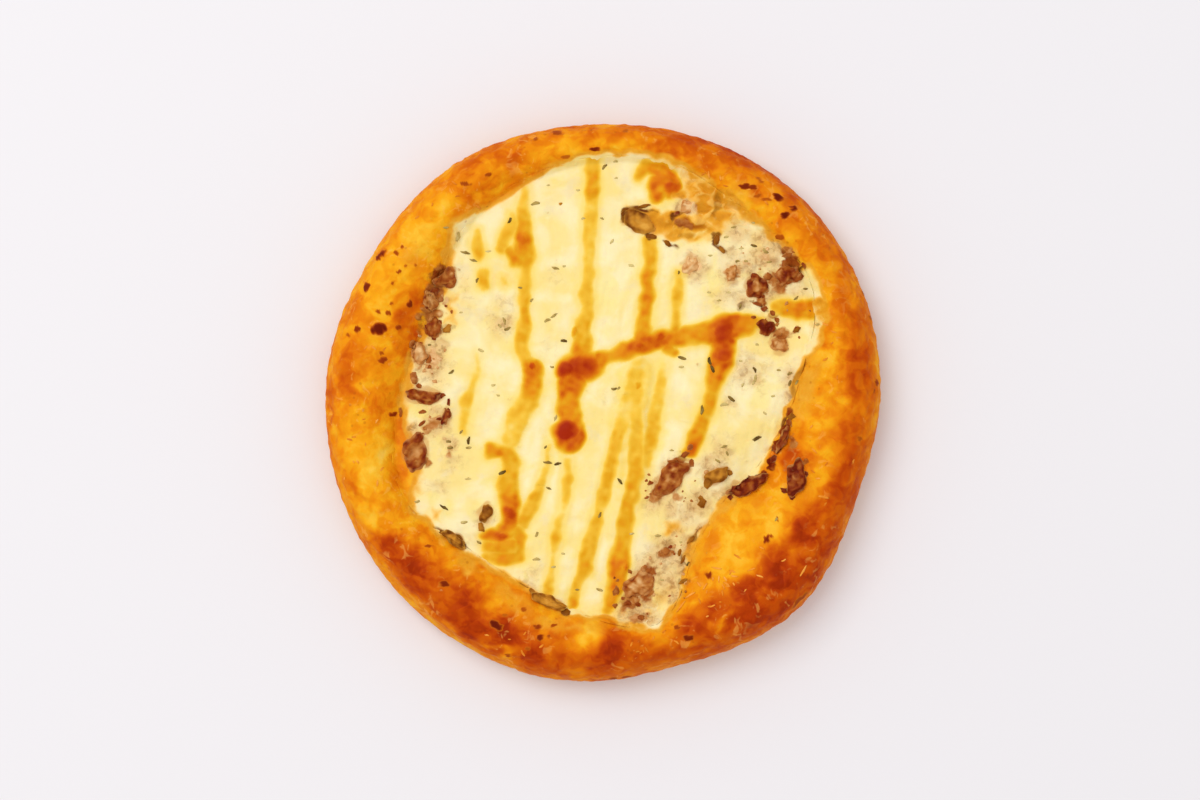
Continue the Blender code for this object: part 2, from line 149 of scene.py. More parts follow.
# How far out the pale film of cheese shows, past the cheese's own edge in places, and how wide a band of
# it turned golden there: (angle, radius, width of the band, unevenness of the line).
FILM = (
    (0, 66, 3, 0.6), (5, 68, 3, 0.6), (10, 71, 3, 0.6), (13, 75, 3, 0.7), (16, 80, 4, 0.7),
    (20, 84, 5, 0.7), (25, 86.8, 4, 0.5), (30, 87, 3, 0.5), (35, 86.4, 4, 0.9), (42, 85, 4, 0.9),
    (51, 84.6, 5, 0.8), (56, 85.5, 6, 0.8), (62, 86.5, 5, 0.8), (70, 88.2, 4.4, 0.6), (76, 90, 4, 0.4),
    (85, 88.4, 2.4, 0.3), (95, 87.2, 2.0, 0.3), (100, 86, 2.0, 0.3), (105, 83.9, 2.0, 0.15),
    (110, 81.6, 2.2, 0.15), (116, 80.4, 2.4, 0.15), (120, 80.2, 2.6, 0.15), (124, 81.4, 3, 0.2),
    (129, 83, 4, 0.4), (131.5, 82, 5, 0.6), (134, 78, 7, 0.9), (138, 74, 7, 1.0), (147, 69.5, 6, 0.8),
    (153, 67.2, 4, 0.7), (162, 67.4, 4, 0.7), (167, 70.6, 5, 0.9), (172, 70.6, 6, 1.0), (182, 70.6, 6, 1.0),
    (190, 70.4, 6, 0.8), (195, 70.6, 6, 0.6), (199, 69.6, 5, 0.5), (203, 72, 5, 0.4), (206, 76, 5, 0.4),
    (210, 77, 4, 0.4), (214, 74.5, 3, 0.4), (218, 73, 3, 0.4), (225, 71.4, 3.4, 0.4), (232, 70.6, 3.6, 0.3),
    (240, 69.6, 3, 0.2), (250, 70.8, 3, 0.2), (256, 74, 2.6, 0.3), (262, 75.4, 2, 0.3), (271, 75.4, 2, 0.4),
    (277, 79.6, 3, 0.6), (284, 82.4, 3, 0.6), (286.5, 79, 3, 0.6), (289, 75.4, 3, 0.7), (293, 71.4, 3, 0.7),
    (298, 65.4, 4, 0.8), (301, 61.2, 4, 0.8), (306, 58.6, 4, 0.8), (314, 57, 4, 0.9), (320, 56.4, 4, 0.9),
    (325, 57, 3, 0.8), (330, 60, 2, 0.6), (336, 61, 2, 0.6), (345, 61.6, 1.6, 0.5), (352, 64, 1.6, 0.6),
    (357, 65.6, 2.4, 0.6),
)

# Golden baked zones of the cheese: (x, y, half length, half width, turn, amount).
GILDED = (
    (16, 64.5, 7.5, 5, -25, 1.15), (23, 63.4, 6, 5, 0, 1.15), (31.4, 63, 6.5, 3, -5, 1.55),
    (26, 65.8, 3.4, 1.8, 30, 1.45), (33, 58, 6, 2, 0, 0.75), (15.5, 67, 5, 2, -6, 1.1),
    (38, 73, 13, 7, -25, 1.0), (50, 71, 9, 5, -40, 0.92), (36, 68, 4, 4, 0, 1.1), (41, 65, 5, 4, 0, 1.0),
    (45, 74, 5, 4, -20, 1.0), (27, 59.5, 8, 2.8, 5, 0.85), (38, 61, 5, 4, 0, 0.85), (27, 73, 3, 3, 0, 0.9),
    (60, 61, 4, 5, 0, 0.7), (22, 80, 8, 6, -30, 0.45), (-55, 56, 6, 4, 0, 0.7), (-50.5, 60, 3, 4, 0, 0.35),
    (-53, 33, 2.6, 9, 0, 0.62), (-34, 43, 8, 4, 0, 0.4), (-66, -29, 6, 5, 0, 0.6),
    (-54, -26, 3, 7, 0, 0.25), (-57.5, -39.5, 1.6, 3.6, 0, 0.6), (25, -44, 5.5, 3, 30, 0.75),
    (29, -42, 7, 3, -40, 0.3), (23, -66, 4, 8, -10, 0.5), (12, -78, 9, 3, -8, 0.8),
    (31, -50.5, 2, 6, -25, 0.95), (34.5, -53, 3.4, 8, -25, 0.9), (31.5, -62, 2.6, 5, 5, 0.9),
    (36.5, -44.6, 5, 1.6, 42, 0.95), (4, -75, 3, 2.4, 0, 0.5), (72, 29.5, 5, 2.4, 0, 0.45),
    (77.5, 32, 2.4, 8, 0, 0.7), (77.5, 33.3, 4.6, 3.3, 0, 1.1), (75.5, 26.5, 2.6, 3, 0, 0.5),
    (79, 27, 3, 4, 0, 0.6), (71, 5, 4.5, 13, -15, 0.54), (40, -44, 5, 3, 40, 0.6), (62, -19, 3, 5, 0, 0.5),
    (64, -12, 4, 8, 0, 0.6), (-72, 3, 3, 14, 0, 0.7), (-69, -22, 4, 6, 0, 0.6),
    (-67.5, -10, 2.4, 5, 0, 0.75), (-64, 52, 5, 5, 0, 0.6), (59, 31, 5, 2.4, -20, 0.3),
    (2, 41, 3.4, 3, 0, 0.2), (-70, 20, 2.4, 16, 0, 0.7),
)
# Where the bread past the cheese is soaked with its oil: (x, y, half length, half width, turn, amount).
GLAZED = (
    (-47, -55, 5, 3.4, -40, 0.95), (-31, -68, 9, 3.4, -38, 0.65), (-19, -76.5, 9, 2.6, -16, 0.65),
    (-3, -78, 5, 2, 0, 0.5), (71, 6, 4.5, 12, -15, 0.95), (53, -36, 5, 2.4, 30, 0.35),
    (40, -43, 6, 2, 42, 0.5), (32.5, -51, 2, 6, -25, 0.55), (35, -52, 3, 7, -28, 0.4),
    (31.5, -61, 2.4, 5, 5, 0.4), (-11, -77.4, 8, 2.2, -10, 0.6), (-66, 52, 5, 6, 0, 0.5),
    (50, 74, 7, 4, -40, 0.5),
)
# Browning, 0 pale to 1 darkest: next to the cheese, on the browned ring and at the outside, as
# (angle, level); and the radius where the golden inside turns into the browned ring, as (angle, radius).
BROWN_INSIDE = (
    (0, 0.38), (14, 0.38), (30, 0.42), (50, 0.34), (68, 0.42), (88, 0.4), (104, 0.44), (120, 0.44),
    (130, 0.4), (140, 0.31), (150, 0.42), (162, 0.44), (175, 0.46), (190, 0.34), (208, 0.37), (218, 0.46),
    (236, 0.52), (250, 0.45), (264, 0.45), (276, 0.5), (288, 0.46), (300, 0.42), (312, 0.37), (322, 0.38),
    (332, 0.44), (342, 0.45), (352, 0.42),
)
BROWN_RING = (
    (0, 0.7), (8, 0.76), (15, 0.76), (22, 0.64), (28, 0.57), (45, 0.58), (52, 0.5), (60, 0.62), (70, 0.66),
    (76, 0.72), (82, 0.62), (92, 0.56), (103, 0.54), (112, 0.66), (122, 0.66), (132, 0.42), (145, 0.42),
    (160, 0.46), (168, 0.6), (178, 0.58), (184, 0.46), (206, 0.48), (212, 0.72), (217, 0.9), (223, 0.84),
    (230, 0.76), (237, 0.92), (245, 0.86), (255, 0.92), (265, 0.74), (272, 0.92), (285, 0.7), (291, 0.9),
    (300, 0.84), (308, 0.94), (318, 0.86), (330, 0.88), (342, 0.82), (350, 0.72),
)
TURNS_BROWN = (
    (0, 84), (5, 83), (12, 86), (20, 87.5), (24, 92), (27, 89), (45, 88.5), (48, 91.5), (57, 91.5),
    (65, 89.5), (72, 91), (80, 91.5), (92, 91), (103, 90), (110, 88), (120, 88), (130, 94), (145, 95),
    (160, 93), (166, 86), (178, 86), (183, 94), (207, 94), (212, 86), (215, 82), (225, 80.5), (235, 80),
    (243, 82.5), (250, 83.5), (258, 83), (262, 84), (265, 89), (268, 82), (272, 79), (280, 83), (285, 90),
    (289, 79), (300, 78.5), (310, 79), (320, 79.5), (330, 80), (338, 82.5), (346, 86.5), (354, 86),
)
BROWN_OUTSIDE = (
    (0, 0.48), (30, 0.56), (60, 0.84), (90, 0.54), (120, 0.52), (150, 0.44), (180, 0.5), (200, 0.5),
    (213, 0.46), (226, 0.42), (240, 0.44), (250, 0.5), (270, 0.62), (290, 0.6), (310, 0.64), (330, 0.66),
)
# Patches that baked darker or stayed paler: (x, y, half length, half width, turn, amount). The narrow pale
# line at (41, -77), along a raised seam, is partly painted highlight.
BROWN_PATCHES = (
    (-70.5, -25.5, 3, 4, 0, 0.16), (-76, -19, 4, 4, 0, -0.08), (-74, 30, 3, 3, 0, -0.12),
    (66.5, -14, 4, 7, -15, 0.26), (62.5, -22, 3, 3.4, 0, 0.26), (-70, -10, 4, 7, 0, 0.18),
    (70, -19, 4, 3, 0, 0.16), (-67.5, -8, 2, 3, 0, 0.2), (-4.5, -82, 3, 5, 0, -0.2),
    (-18.5, -90, 2, 5, -10, -0.16), (-28, -83, 3, 3, 0, -0.14), (-34, -87, 4, 2, -20, -0.34),
    (-41, -84, 3, 2, -30, -0.24), (41, -77, 5, 1.2, 50, -0.3), (33, -84, 6, 1.4, 10, -0.2),
    (88, -18, 3, 5, 0, 0.08), (78, -12, 4, 3, 0, 0.14), (77.5, 20.5, 2.4, 2, 0, 0.26),
    (72, -10, 5, 2, -20, 0.1), (95.5, 18, 1.6, 12, 8, -0.12), (80, -29, 3, 1.6, 0, -0.12),
    (77.4, -14.5, 2.4, 1.6, 0, 0.16), (55, 74, 4, 3, -30, 0.24), (53.5, 72.5, 2, 2.4, 0, 0.12),
    (57, 67, 4, 2, -20, -0.1), (48, 70, 4, 2.4, -20, -0.1), (6, 91, 5, 1.4, 2, -0.12),
    (-36, 89, 3, 2.4, 30, 0.14), (-33, 84, 4, 3, 20, 0.1), (-41, 82, 4, 1.6, 15, -0.14),
    (-18, 88, 5, 2, 15, -0.1), (-48, 69, 9, 3, 30, 0.08), (-57, 68, 6, 3, 45, -0.12),
    (-68, 33, 4, 7, -35, 0.34), (-66.4, 24, 2.8, 5.4, -15, 0.36), (-70, 18, 2, 4, 0, 0.2),
    (-72, 38, 6, 4, 30, -0.06), (-90, 14, 3, 9, 5, 0.1), (-85, 3, 7, 3, -20, 0.14),
    (-86, -31, 2, 4, 20, 0.12), (-79, -50, 4, 4, 0, 0.1), (-96, -8, 1.6, 22, 2, 0.12),
    (34, -67, 3, 3, 0, -0.12), (35.5, -60.5, 2.4, 2, 0, 0.14), (66, -50, 3, 1.2, 30, -0.14),
    (56, -64, 5, 1.4, 40, -0.12), (78, -42, 4, 1.2, 50, -0.1),
)
# Small baked-on bits, dark red-brown: (x, y, half length, half width, turn, strength).
SPOTS = (
    (96.6, 7.3, 0.8, 1.2, 0, 0.7), (95.9, 4.3, 0.6, 0.9, 0, 0.6), (92.8, 39.2, 0.7, 1.0, 20, 0.6),
    (95.2, 30.6, 0.6, 1.2, 10, 0.5), (4, -97.4, 1.4, 0.7, 0, 0.6), (9, -97, 1.6, 0.8, 5, 0.7),
    (69.5, -69.2, 4.2, 0.8, 45, 0.6), (-78, 26, 2.6, 2.1, 0, 1.0), (-86, 26, 1.4, 1.1, 30, 0.8),
    (-82.6, 40.8, 1.2, 1.7, 0, 0.9), (-67, 34.8, 1.1, 1.4, 0, 0.9), (-76.3, 15, 1.2, 1.2, 0, 0.7),
    (-71, 26.5, 1.2, 0.9, 0, 0.7), (-71, 46, 0.8, 0.7, 0, 0.6), (-72, 52.7, 0.8, 0.9, 0, 0.6),
    (-70, 55, 0.7, 0.6, 0, 0.6), (-78, 52, 2.3, 0.7, 48, 0.9), (-78, 32, 0.9, 0.8, 0, 0.6),
    (-74.5, 31.5, 0.7, 0.9, 0, 0.6), (-73.5, 35, 0.7, 0.6, 0, 0.5), (-73, 42, 0.8, 0.6, 20, 0.5),
    (-73, -3.8, 1.0, 0.8, 30, 0.8), (-70, -3, 1.3, 1.1, 0, 0.9), (-77, 17.5, 0.7, 0.7, 0, 0.5),
    (-89, 24, 0.9, 0.8, 0, 0.5), (-68.5, 48, 0.8, 0.6, 0, 0.4), (-65, 48.3, 0.7, 0.6, 0, 0.4),
    (50.2, 76, 1.8, 1.1, 10, 0.9), (53, 75.7, 1.3, 0.9, 0, 0.8), (61.6, 72.3, 1.8, 1.2, -45, 1.0),
    (67.3, 68.5, 1.1, 1.0, 0, 1.0), (64, 65.8, 1.5, 1.2, 30, 1.0), (57.2, 71.4, 1.8, 0.7, 5, 0.5),
    (62, 58, 1.6, 0.9, -20, 0.5), (54.5, 72.8, 1.0, 0.8, 0, 0.5), (55.5, 78.5, 1.6, 0.8, -50, 0.4),
    (-2.3, 88.9, 1.8, 0.8, 3, 0.9), (-16, 95.3, 2.0, 1.0, -15, 0.6), (-23.5, 93.2, 1.1, 0.9, 0, 0.5),
    (-4, 96.3, 0.7, 0.6, 0, 0.5), (8.5, 96, 1.3, 0.8, 0, 0.4), (-39.7, 80, 1.1, 0.7, 10, 0.6),
    (-48, 76.8, 2.0, 0.8, -10, 0.6), (-12.5, 86.2, 1.4, 0.7, 10, 0.4), (-55, -63, 1.8, 1.1, 0, 0.9),
    (-37, -77.5, 2.6, 1.5, -35, 1.0), (-22.5, -78, 1.6, 0.9, 10, 0.7), (-60.5, -49.8, 1.5, 0.6, 0, 0.6),
    (-17, -77.5, 0.7, 0.6, 0, 0.6), (-34, -74, 0.9, 0.6, 0, 0.4), (-27.2, -72, 1.2, 0.6, 35, 0.5),
    (-21.6, -81.8, 1.0, 1.2, 0, 0.9), (-18.6, -81.3, 0.7, 0.7, 0, 0.6), (-26, -85.7, 0.7, 0.7, 0, 0.5),
    (-33, -88.5, 0.9, 0.7, 0, 0.6), (37.5, -60, 1.4, 1.1, 10, 0.8), (57.5, -47.3, 1.8, 0.9, 45, 0.9),
    (30, -82, 2.2, 1.1, -5, 0.9), (26, -78, 1.0, 0.8, 0, 0.6), (61, -40.3, 0.7, 0.9, 0, 0.5),
    (90.6, -12.5, 1.0, 0.9, 0, 0.5),
)
# Where minced meat shows as a knobbly mass: (x, y, half length, half width, turn, amount, tone), where tone
# is 0 dark to 1 pale.
CLUMPED = (
    (-56.5, 45, 5.4, 3.4, 40, 1.0, 0.34), (-58.6, 39, 4.6, 4.6, 0, 0.9, 0.4),
    (-60, 32.5, 4.4, 5, 5, 0.85, 0.52), (-55.6, 36, 2.4, 6, 0, 0.5, 0.85), (-63.5, 29, 2.4, 6, 0, 0.6, 0.4),
    (-59.6, 26, 3.4, 3, 0, 1.0, 0.24), (-64.6, 18, 2.4, 5, 10, 0.85, 0.44),
    (-59.4, 16, 3.6, 6, 0, 0.7, 0.85), (-66, 9, 1.8, 3.2, 10, 0.75, 0.46),
    (-59.8, -7.6, 5, 2.2, 35, 1.0, 0.66), (-70.8, -3.5, 0.8, 2.4, 0, 0.9, 0.35),
    (-53.5, -16, 2, 3.4, 0, 0.6, 0.6), (-61.5, -20.5, 2.5, 3, 0, 0.7, 0.5),
    (-53.4, 43, 1.6, 2.4, -20, 1, 0.3), (30.5, 68.5, 3.6, 3, 30, 0.8, 0.95),
    (28.6, 62.8, 5.5, 2.0, -12, 0.8, 0.4), (32, 49.5, 3.5, 4.5, 15, 0.75, 0.88),
    (46, 46, 3.6, 3, 40, 0.9, 0.62), (66, 48.8, 3.6, 3.4, 0, 1.1, 0.3), (63, 40.5, 3, 2.6, 0, 1.0, 0.45),
    (59.5, 44, 3, 3, 0, 0.9, 0.5), (64.5, 53.5, 2.6, 2, 0, 0.8, 0.45), (56, 36, 2.6, 2.4, 0, 0.8, 0.4),
    (60.5, 31.5, 2.4, 2, 0, 1.0, 0.38), (63, 23.5, 3.6, 3.6, 0, 1.0, 0.5),
    (68.5, 26.5, 1.2, 2.2, -30, 0.9, 0.3), (57, 51, 4, 2.4, 20, 0.55, 0.8), (51, 48.5, 3, 2, 0, 0.55, 0.75),
    (65.8, -4, 1.4, 2.6, -10, 1.0, 0.2), (64, -9.5, 1.5, 3.4, -15, 1.1, 0.12),
    (61.5, -15.5, 1.5, 3.4, -15, 1.2, 0.08), (59.2, -21, 1.5, 3, -12, 1.2, 0.08),
    (66.5, -13.5, 2, 3.5, 10, 0.8, 0.45), (55.5, -25.6, 3, 1.6, 30, 1.2, 0.1),
    (71.4, -20, 1.6, 1.6, 0, 0.8, 0.3), (65, -22, 2, 3, 0, 0.5, 0.5), (27.5, -20, 4, 2.2, 50, 1.0, 0.3),
    (20, -31, 4.6, 3, 40, 1.0, 0.45), (26, -33, 3, 2.4, 0, 0.65, 0.65),
    (38.5, -27.5, 3, 1.8, 40, 0.6, 0.45), (22.5, -52.5, 3.4, 2.2, 25, 0.8, 0.45),
    (16.5, -59, 3, 2.8, 10, 0.9, 0.4), (9.5, -69.5, 5, 4, 20, 1.0, 0.42),
    (15.5, -67, 3, 3.6, -10, 0.9, 0.4), (13, -75.5, 4.5, 2.4, 5, 0.75, 0.62),
    (5, -67.5, 2, 3.4, 0, 0.8, 0.5), (30, -62, 2, 1.6, 30, 0.6, 0.4),
)
# Creases and raised seams in the skin: (depth, knots (x, y, half width)), raised where depth is negative.
CREASES = (
    (0.4, ((1.4, 88.2, 0.9), (14, 89.6, 1.0), (27, 90, 0.9), (31, 88.6, 0.6))),
    (0.9, ((-77, -58, 0.9), (-70, -67.5, 1.3), (-61, -77, 1.3), (-49, -86.2, 1.2), (-31, -94, 0.8))),
    (0.4, ((-71, -64, 0.5), (-62, -71.5, 0.6), (-52, -80, 0.6))),
    (-0.4, ((40, -78, 0.7), (45, -73, 0.8), (51, -66, 0.7))),
    (0.3, ((-76, 8, 0.8), (-83, 6, 1.0), (-92, -1, 0.8))),
    (0.3, ((-85, -18, 0.7), (-84, -34, 1.0), (-79, -46, 0.7))),
    (0.3, ((86, 30, 0.7), (85, 14, 0.8), (84, 4, 0.7), (88, -20, 0.7))),
    (-0.25, ((82, 26, 0.7), (80.5, 12, 0.8), (79, 0, 0.7))),
    (0.25, ((92, 6, 0.5), (95, 3, 0.6))),
    (0.3, ((-44, 73, 0.6), (-38, 74.5, 0.7), (-31, 77.5, 0.6))),
    (0.25, ((-58, 75, 0.6), (-52, 76, 0.7), (-46, 78, 0.5))),
)


def swell(angle, lobes):
    """The sum of smooth lobes (angle, width, amount) at each angle."""
    total = np.zeros_like(angle)
    for centre, width, amount in lobes:
        away = (angle - centre + 180) % 360 - 180
        total = total + amount * np.exp(-(away / width) ** 2)
    return total


def around(angle, knots, spread=4.0):
    """A value at each angle from knots all the way round, with the corners smoothed off over this spread."""
    at, value = np.array(knots, float).T
    nearby = angle[..., None] + np.arange(-2, 3) * spread
    return np.interp(nearby, at, value, period=360) @ np.array((1, 2, 3, 2, 1)) / 9


def lines_of(angle):
    """Radii of the foot of the bank, the cheese's edge, the top of the rim and the outside."""
    outer = OUTER + swell(angle, OUTER_LOBES)
    edge = around(angle, CHEESE_EDGE)
    crest = outer - CREST_INSET - swell(angle, CREST_INSET_LOBES)
    return edge - FOOT, edge, crest, outer


def lumps(radius, angle):
    """Low swellings of baked dough: a broad and a narrower product of two sines."""
    turn = np.radians(angle)
    x, y = radius * np.cos(turn), radius * np.sin(turn)
    broad = 0.4 * np.sin(0.13 * x + 0.05 * y + 1.0) * np.sin(0.11 * y - 0.04 * x + 2.0)
    return broad + 0.22 * np.sin(0.29 * x + 0.9) * np.sin(0.31 * y + 2.3)


def bank(radius, angle):
    """Height of the bread from the well up to the top of its rim: 1 less a power of the way still to go."""
    foot, _, crest, _ = lines_of(angle)
    share = np.clip((radius - foot) / (crest - foot), 0, 1)
    top = CREST_TOP + swell(angle, CREST_TOP_LOBES)
    rise = 1 - (1 - share) ** BANK
    return FLOOR + (top - FLOOR) * rise + lumps(radius, angle) * rise


def bread(radius, angle):
    """Height of the bread's upper face anywhere: the bank, then a quarter ellipse to the widest line."""
    _, _, crest, outer = lines_of(angle)
    widest = WIDEST + swell(angle, WIDEST_LOBES)
    share = np.clip((radius - crest) / (outer - crest), 0, 1)
    over = widest + (bank(crest, angle) - widest) * np.sqrt(1 - share**2)
    return np.where(radius < crest, bank(radius, angle), over)


WAVE_COUNT = 26


def waves(x, y, size, seed):
    """Smooth noise of unit spread: a sum of plane waves of about this length, in seeded directions."""
    chance = np.random.default_rng(seed)
    total = np.zeros_like(x)
    for turn, phase, stretch in chance.uniform((0, 0, 0.7), (math.tau, math.tau, 1.6), (WAVE_COUNT, 3)):
        total = total + np.sin((x * math.cos(turn) + y * math.sin(turn)) * math.tau / size / stretch + phase)
    return total / math.sqrt(WAVE_COUNT / 2)


def nudged(x, y, amount):
    """Each place moved by smooth noise of this amount, which makes the outline of a patch uneven."""
    return x + amount * waves(x, y, 6, 41), y + amount * waves(x, y, 6, 42)


def soft(low, high, value):
    """0 at low, 1 at high, and a smooth step between; low may lie above high."""
    share = np.clip((value - low) / (high - low), 0, 1)
    return share * share * (3 - 2 * share)


def beside(x, y, knots):
    """Distance outside the edge of a line of knots (x, y, half width, ...), and its values at that place:
    the nearest point of each straight run, with the knots' values blended along it."""
    nearest = np.full(x.shape, np.inf)
    carried = np.zeros((len(knots[0]) - 2, *x.shape))
    ends = np.array(knots, float)
    for start, end in zip(ends, ends[1:]):
        run = end[:2] - start[:2]
        share = np.clip(((x - start[0]) * run[0] + (y - start[1]) * run[1]) / (run @ run), 0, 1)
        wide = start[2] + (end[2] - start[2]) * share
        away = np.hypot(x - start[0] - share * run[0], y - start[1] - share * run[1]) - wide
        nearer = away < nearest
        nearest = np.where(nearer, away, nearest)
        for row, (first, last) in enumerate(zip(start[2:], end[2:])):
            carried[row] = np.where(nearer, first + (last - first) * share, carried[row])
    return nearest, carried


def oval(x, y, centre_x, centre_y, long, wide, turn):
    """Distance from an oval's centre as a share of its own radius that way, so 1 on its outline."""
    c, s = math.cos(math.radians(turn)), math.sin(math.radians(turn))
    return np.hypot((c * (x - centre_x) + s * (y - centre_y)) / long,
                    (c * (y - centre_y) - s * (x - centre_x)) / wide)


def strongest(x, y, patches):
    """The strongest of many oval patches, each falling off smoothly like a bell."""
    total = np.zeros_like(x)
    for *place, amount in patches:
        total = np.maximum(total, amount * np.exp(-(oval(x, y, *place) ** 2)))
    return total


def grown(points, amount):
    """Rings moved along their own normals, found from the grid's neighbours, by an amount at each point."""
    across = np.gradient(points, axis=0)
    along = np.roll(points, -1, axis=1) - np.roll(points, 1, axis=1)
    normal = np.cross(across, along)
    normal /= np.linalg.norm(normal, axis=2, keepdims=True) + 1e-9
    return points + normal * amount[..., None]


def skin_faces(rows, columns):
    """Faces of a closed skin of rings: quads between rings, and triangles to a point at each end."""
    row, column = np.meshgrid(np.arange(rows - 1), np.arange(columns), indexing="ij")
    beyond = (column + 1) % columns
    quads = 1 + np.stack((row * columns + columns + column, row * columns + columns + beyond,
                          row * columns + beyond, row * columns + column), axis=-1).reshape(-1, 4)
    spoke, last = np.arange(columns), 1 + (rows - 1) * columns
    after = (spoke + 1) % columns
    start = np.stack((0 * spoke, 1 + spoke, 1 + after), axis=1)
    end = np.stack((0 * spoke + 1 + rows * columns, last + after, last + spoke), axis=1)
    return quads, np.concatenate((start, end))


def skins(name, rings, starts, ends, attributes):
    """Closed skins joined in one object: rings (skins, rows, columns, 3) in mm, end points, named values."""
    count, rows, columns, _ = rings.shape
    each = rows * columns + 2
    points = np.concatenate((starts[:, None], rings.reshape(count, -1, 3), ends[:, None]), axis=1) * MM
    quads, triangles = skin_faces(rows, columns)
    shift = (np.arange(count) * each)[:, None, None]
    faces = (quads + shift).reshape(-1, 4).tolist() + (triangles + shift).reshape(-1, 3).tolist()
    mesh = bpy.data.meshes.new(name)
    mesh.from_pydata(points.reshape(-1, 3).tolist(), [], faces)
    mesh.shade_smooth()
    for key, value in attributes.items():
        value = value + np.zeros((count, rows, columns))
        first, last = value[:, :1].mean(axis=2), value[:, -1:].mean(axis=2)
        flat = np.concatenate((first, value.reshape(count, -1), last), axis=1).astype(np.float32)
        mesh.attributes.new(key, "FLOAT", "POINT").data.foreach_set("value", flat.ravel())
    thing = bpy.data.objects.new(name, mesh)
    scene.collection.objects.link(thing)
    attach(thing, "root")
    return thing


def skin(name, rings, start, end, attributes):
    """One closed skin."""
    single = {key: value[None] for key, value in attributes.items()}
    return skins(name, rings[None], np.array(start, float)[None], np.array(end, float)[None], single)


def linear(red, green, blue):
    """A colour given as it shows on screen, 0 to 255, as the light that it stands for: each part through
    the usual screen curve, straight near black and a power above."""
    shown = np.array((red, green, blue)) / 255
    light = np.where(shown <= 0.04045, shown / 12.92, ((shown + 0.055) / 1.055) ** 2.4)
    return (*light.tolist(), 1.0)


BREAD_STOPS = ((0.0, linear(250, 216, 110)), (0.2, linear(247, 190, 52)), (0.35, linear(243, 166, 20)),
               (0.5, linear(233, 136, 8)), (0.65, linear(216, 106, 3)), (0.8, linear(196, 78, 2)),
               (0.9, linear(178, 58, 1)), (1.0, linear(154, 42, 1)))
# Colour of the palest flaky patches of skin, which are partly painted glints on the crust.
PALE_FLAKE_AND_GLINT = linear(255, 188, 88)
BLISTER = linear(150, 62, 6)
BLISTER_SPACING = 3.2  # of the small dark blisters
SPOT_STOPS = ((0.3, linear(196, 100, 12)), (0.7, linear(150, 54, 5)), (1.0, linear(104, 24, 1)))
CREAM, PALE_CREAM = linear(249, 223, 140), linear(251, 236, 184)
GREY_CREAM, BUTTER = linear(236, 218, 178), linear(248, 224, 108)
GOLD_STOPS = ((0.1, linear(252, 218, 116)), (0.36, linear(245, 186, 66)), (0.6, linear(228, 154, 34)),
              (0.8, linear(202, 128, 20)), (1.0, linear(172, 88, 10)))
FLESH_STOPS = ((0.0, linear(104, 24, 2)), (0.15, linear(132, 48, 8)), (0.35, linear(160, 82, 24)),
               (0.55, linear(186, 116, 50)), (0.75, linear(212, 154, 92)), (1.0, linear(238, 196, 138)))


class Value:
    """A value in a material's node tree: arithmetic on it adds Math nodes, and node() adds any other."""

    def __init__(self, tree, socket):
        self.tree = tree
        self.socket = socket

    def node(self, kind, settings=(), inputs=(), output=0):
        """A new node of this kind: its settings first, then its sockets' values or links."""
        made = self.tree.nodes.new(kind)
        for key, value in dict(settings).items():
            if key == "stops":
                for place, colour in value[1:-1]:
                    made.color_ramp.elements.new(place)
                for element, (place, colour) in zip(made.color_ramp.elements, value):
                    element.position, element.color = place, colour
            else:
                setattr(made, key, value)
        for key, value in dict(inputs).items():
            if isinstance(value, Value):
                self.tree.links.new(value.socket, made.inputs[key])
            else:
                made.inputs[key].default_value = value
        return Value(self.tree, made.outputs[output])

    def math(self, operation, first, second):
        """A Math node with this operation on two values or numbers."""
        return self.node("ShaderNodeMath", {"operation": operation}, {0: first, 1: second})

    def __add__(self, other):
        return self.math("ADD", self, other)

    def __radd__(self, other):
        return self.math("ADD", other, self)

    def __sub__(self, other):
        return self.math("SUBTRACT", self, other)

    def __rsub__(self, other):
        return self.math("SUBTRACT", other, self)

    def __mul__(self, other):
        return self.math("MULTIPLY", self, other)

    def __rmul__(self, other):
        return self.math("MULTIPLY", other, self)

    def noise(self, size, detail, roughness, distortion=0.0):
        """Noise at this value as the place, with features of this size in mm and about 0.5 on average."""
        inputs = {"Vector": self, "Scale": 1 / (size * MM), "Detail": detail, "Roughness": roughness,
                  "Distortion": distortion}
        return self.node("ShaderNodeTexNoise", inputs=inputs)

    def step(self, low, high):
        """0 below low, 1 above high, smooth between."""
        inputs = {"Value": self, "From Min": low, "From Max": high}
        return self.node("ShaderNodeMapRange", {"interpolation_type": "SMOOTHSTEP"}, inputs)

    def mix(self, first, second):
        """The first colour where this value is 0 and the second where it is 1."""
        return self.node("ShaderNodeMix", {"data_type": "RGBA"}, {0: self, 6: first, 7: second}, output=2)

    def ramp(self, stops):
        """The colour at this value on a ramp of stops (place, colour)."""
        return self.node("ShaderNodeValToRGB", {"stops": stops}, {0: self})

    def attribute(self, name):
        """The value that the mesh keeps under this name."""
        return self.node("ShaderNodeAttribute", {"attribute_name": name}, output=2)


def started(name):
    """A new material: its node tree's place on the object as a Value, and its shader."""
    made = bpy.data.materials.new(name)
    made.use_nodes = True
    tree = made.node_tree
    place = Value(tree, tree.nodes.new("ShaderNodeTexCoord").outputs["Object"])
    return made, place, tree.nodes["Principled BSDF"]


def coated(shader, place, colour, roughness, height, depth, fixed):
    """Wires a material's colour, roughness and bump, with its depth in mm, and sets the fixed sockets."""
    bump = place.node("ShaderNodeBump", inputs={"Strength": 1.0, "Distance": depth * MM, "Height": height})
    for key, value in {"Base Color": colour, "Roughness": roughness, "Normal": bump}.items():
        place.tree.links.new(value.socket, shader.inputs[key])
    for key, value in fixed.items():
        shader.inputs[key].default_value = value


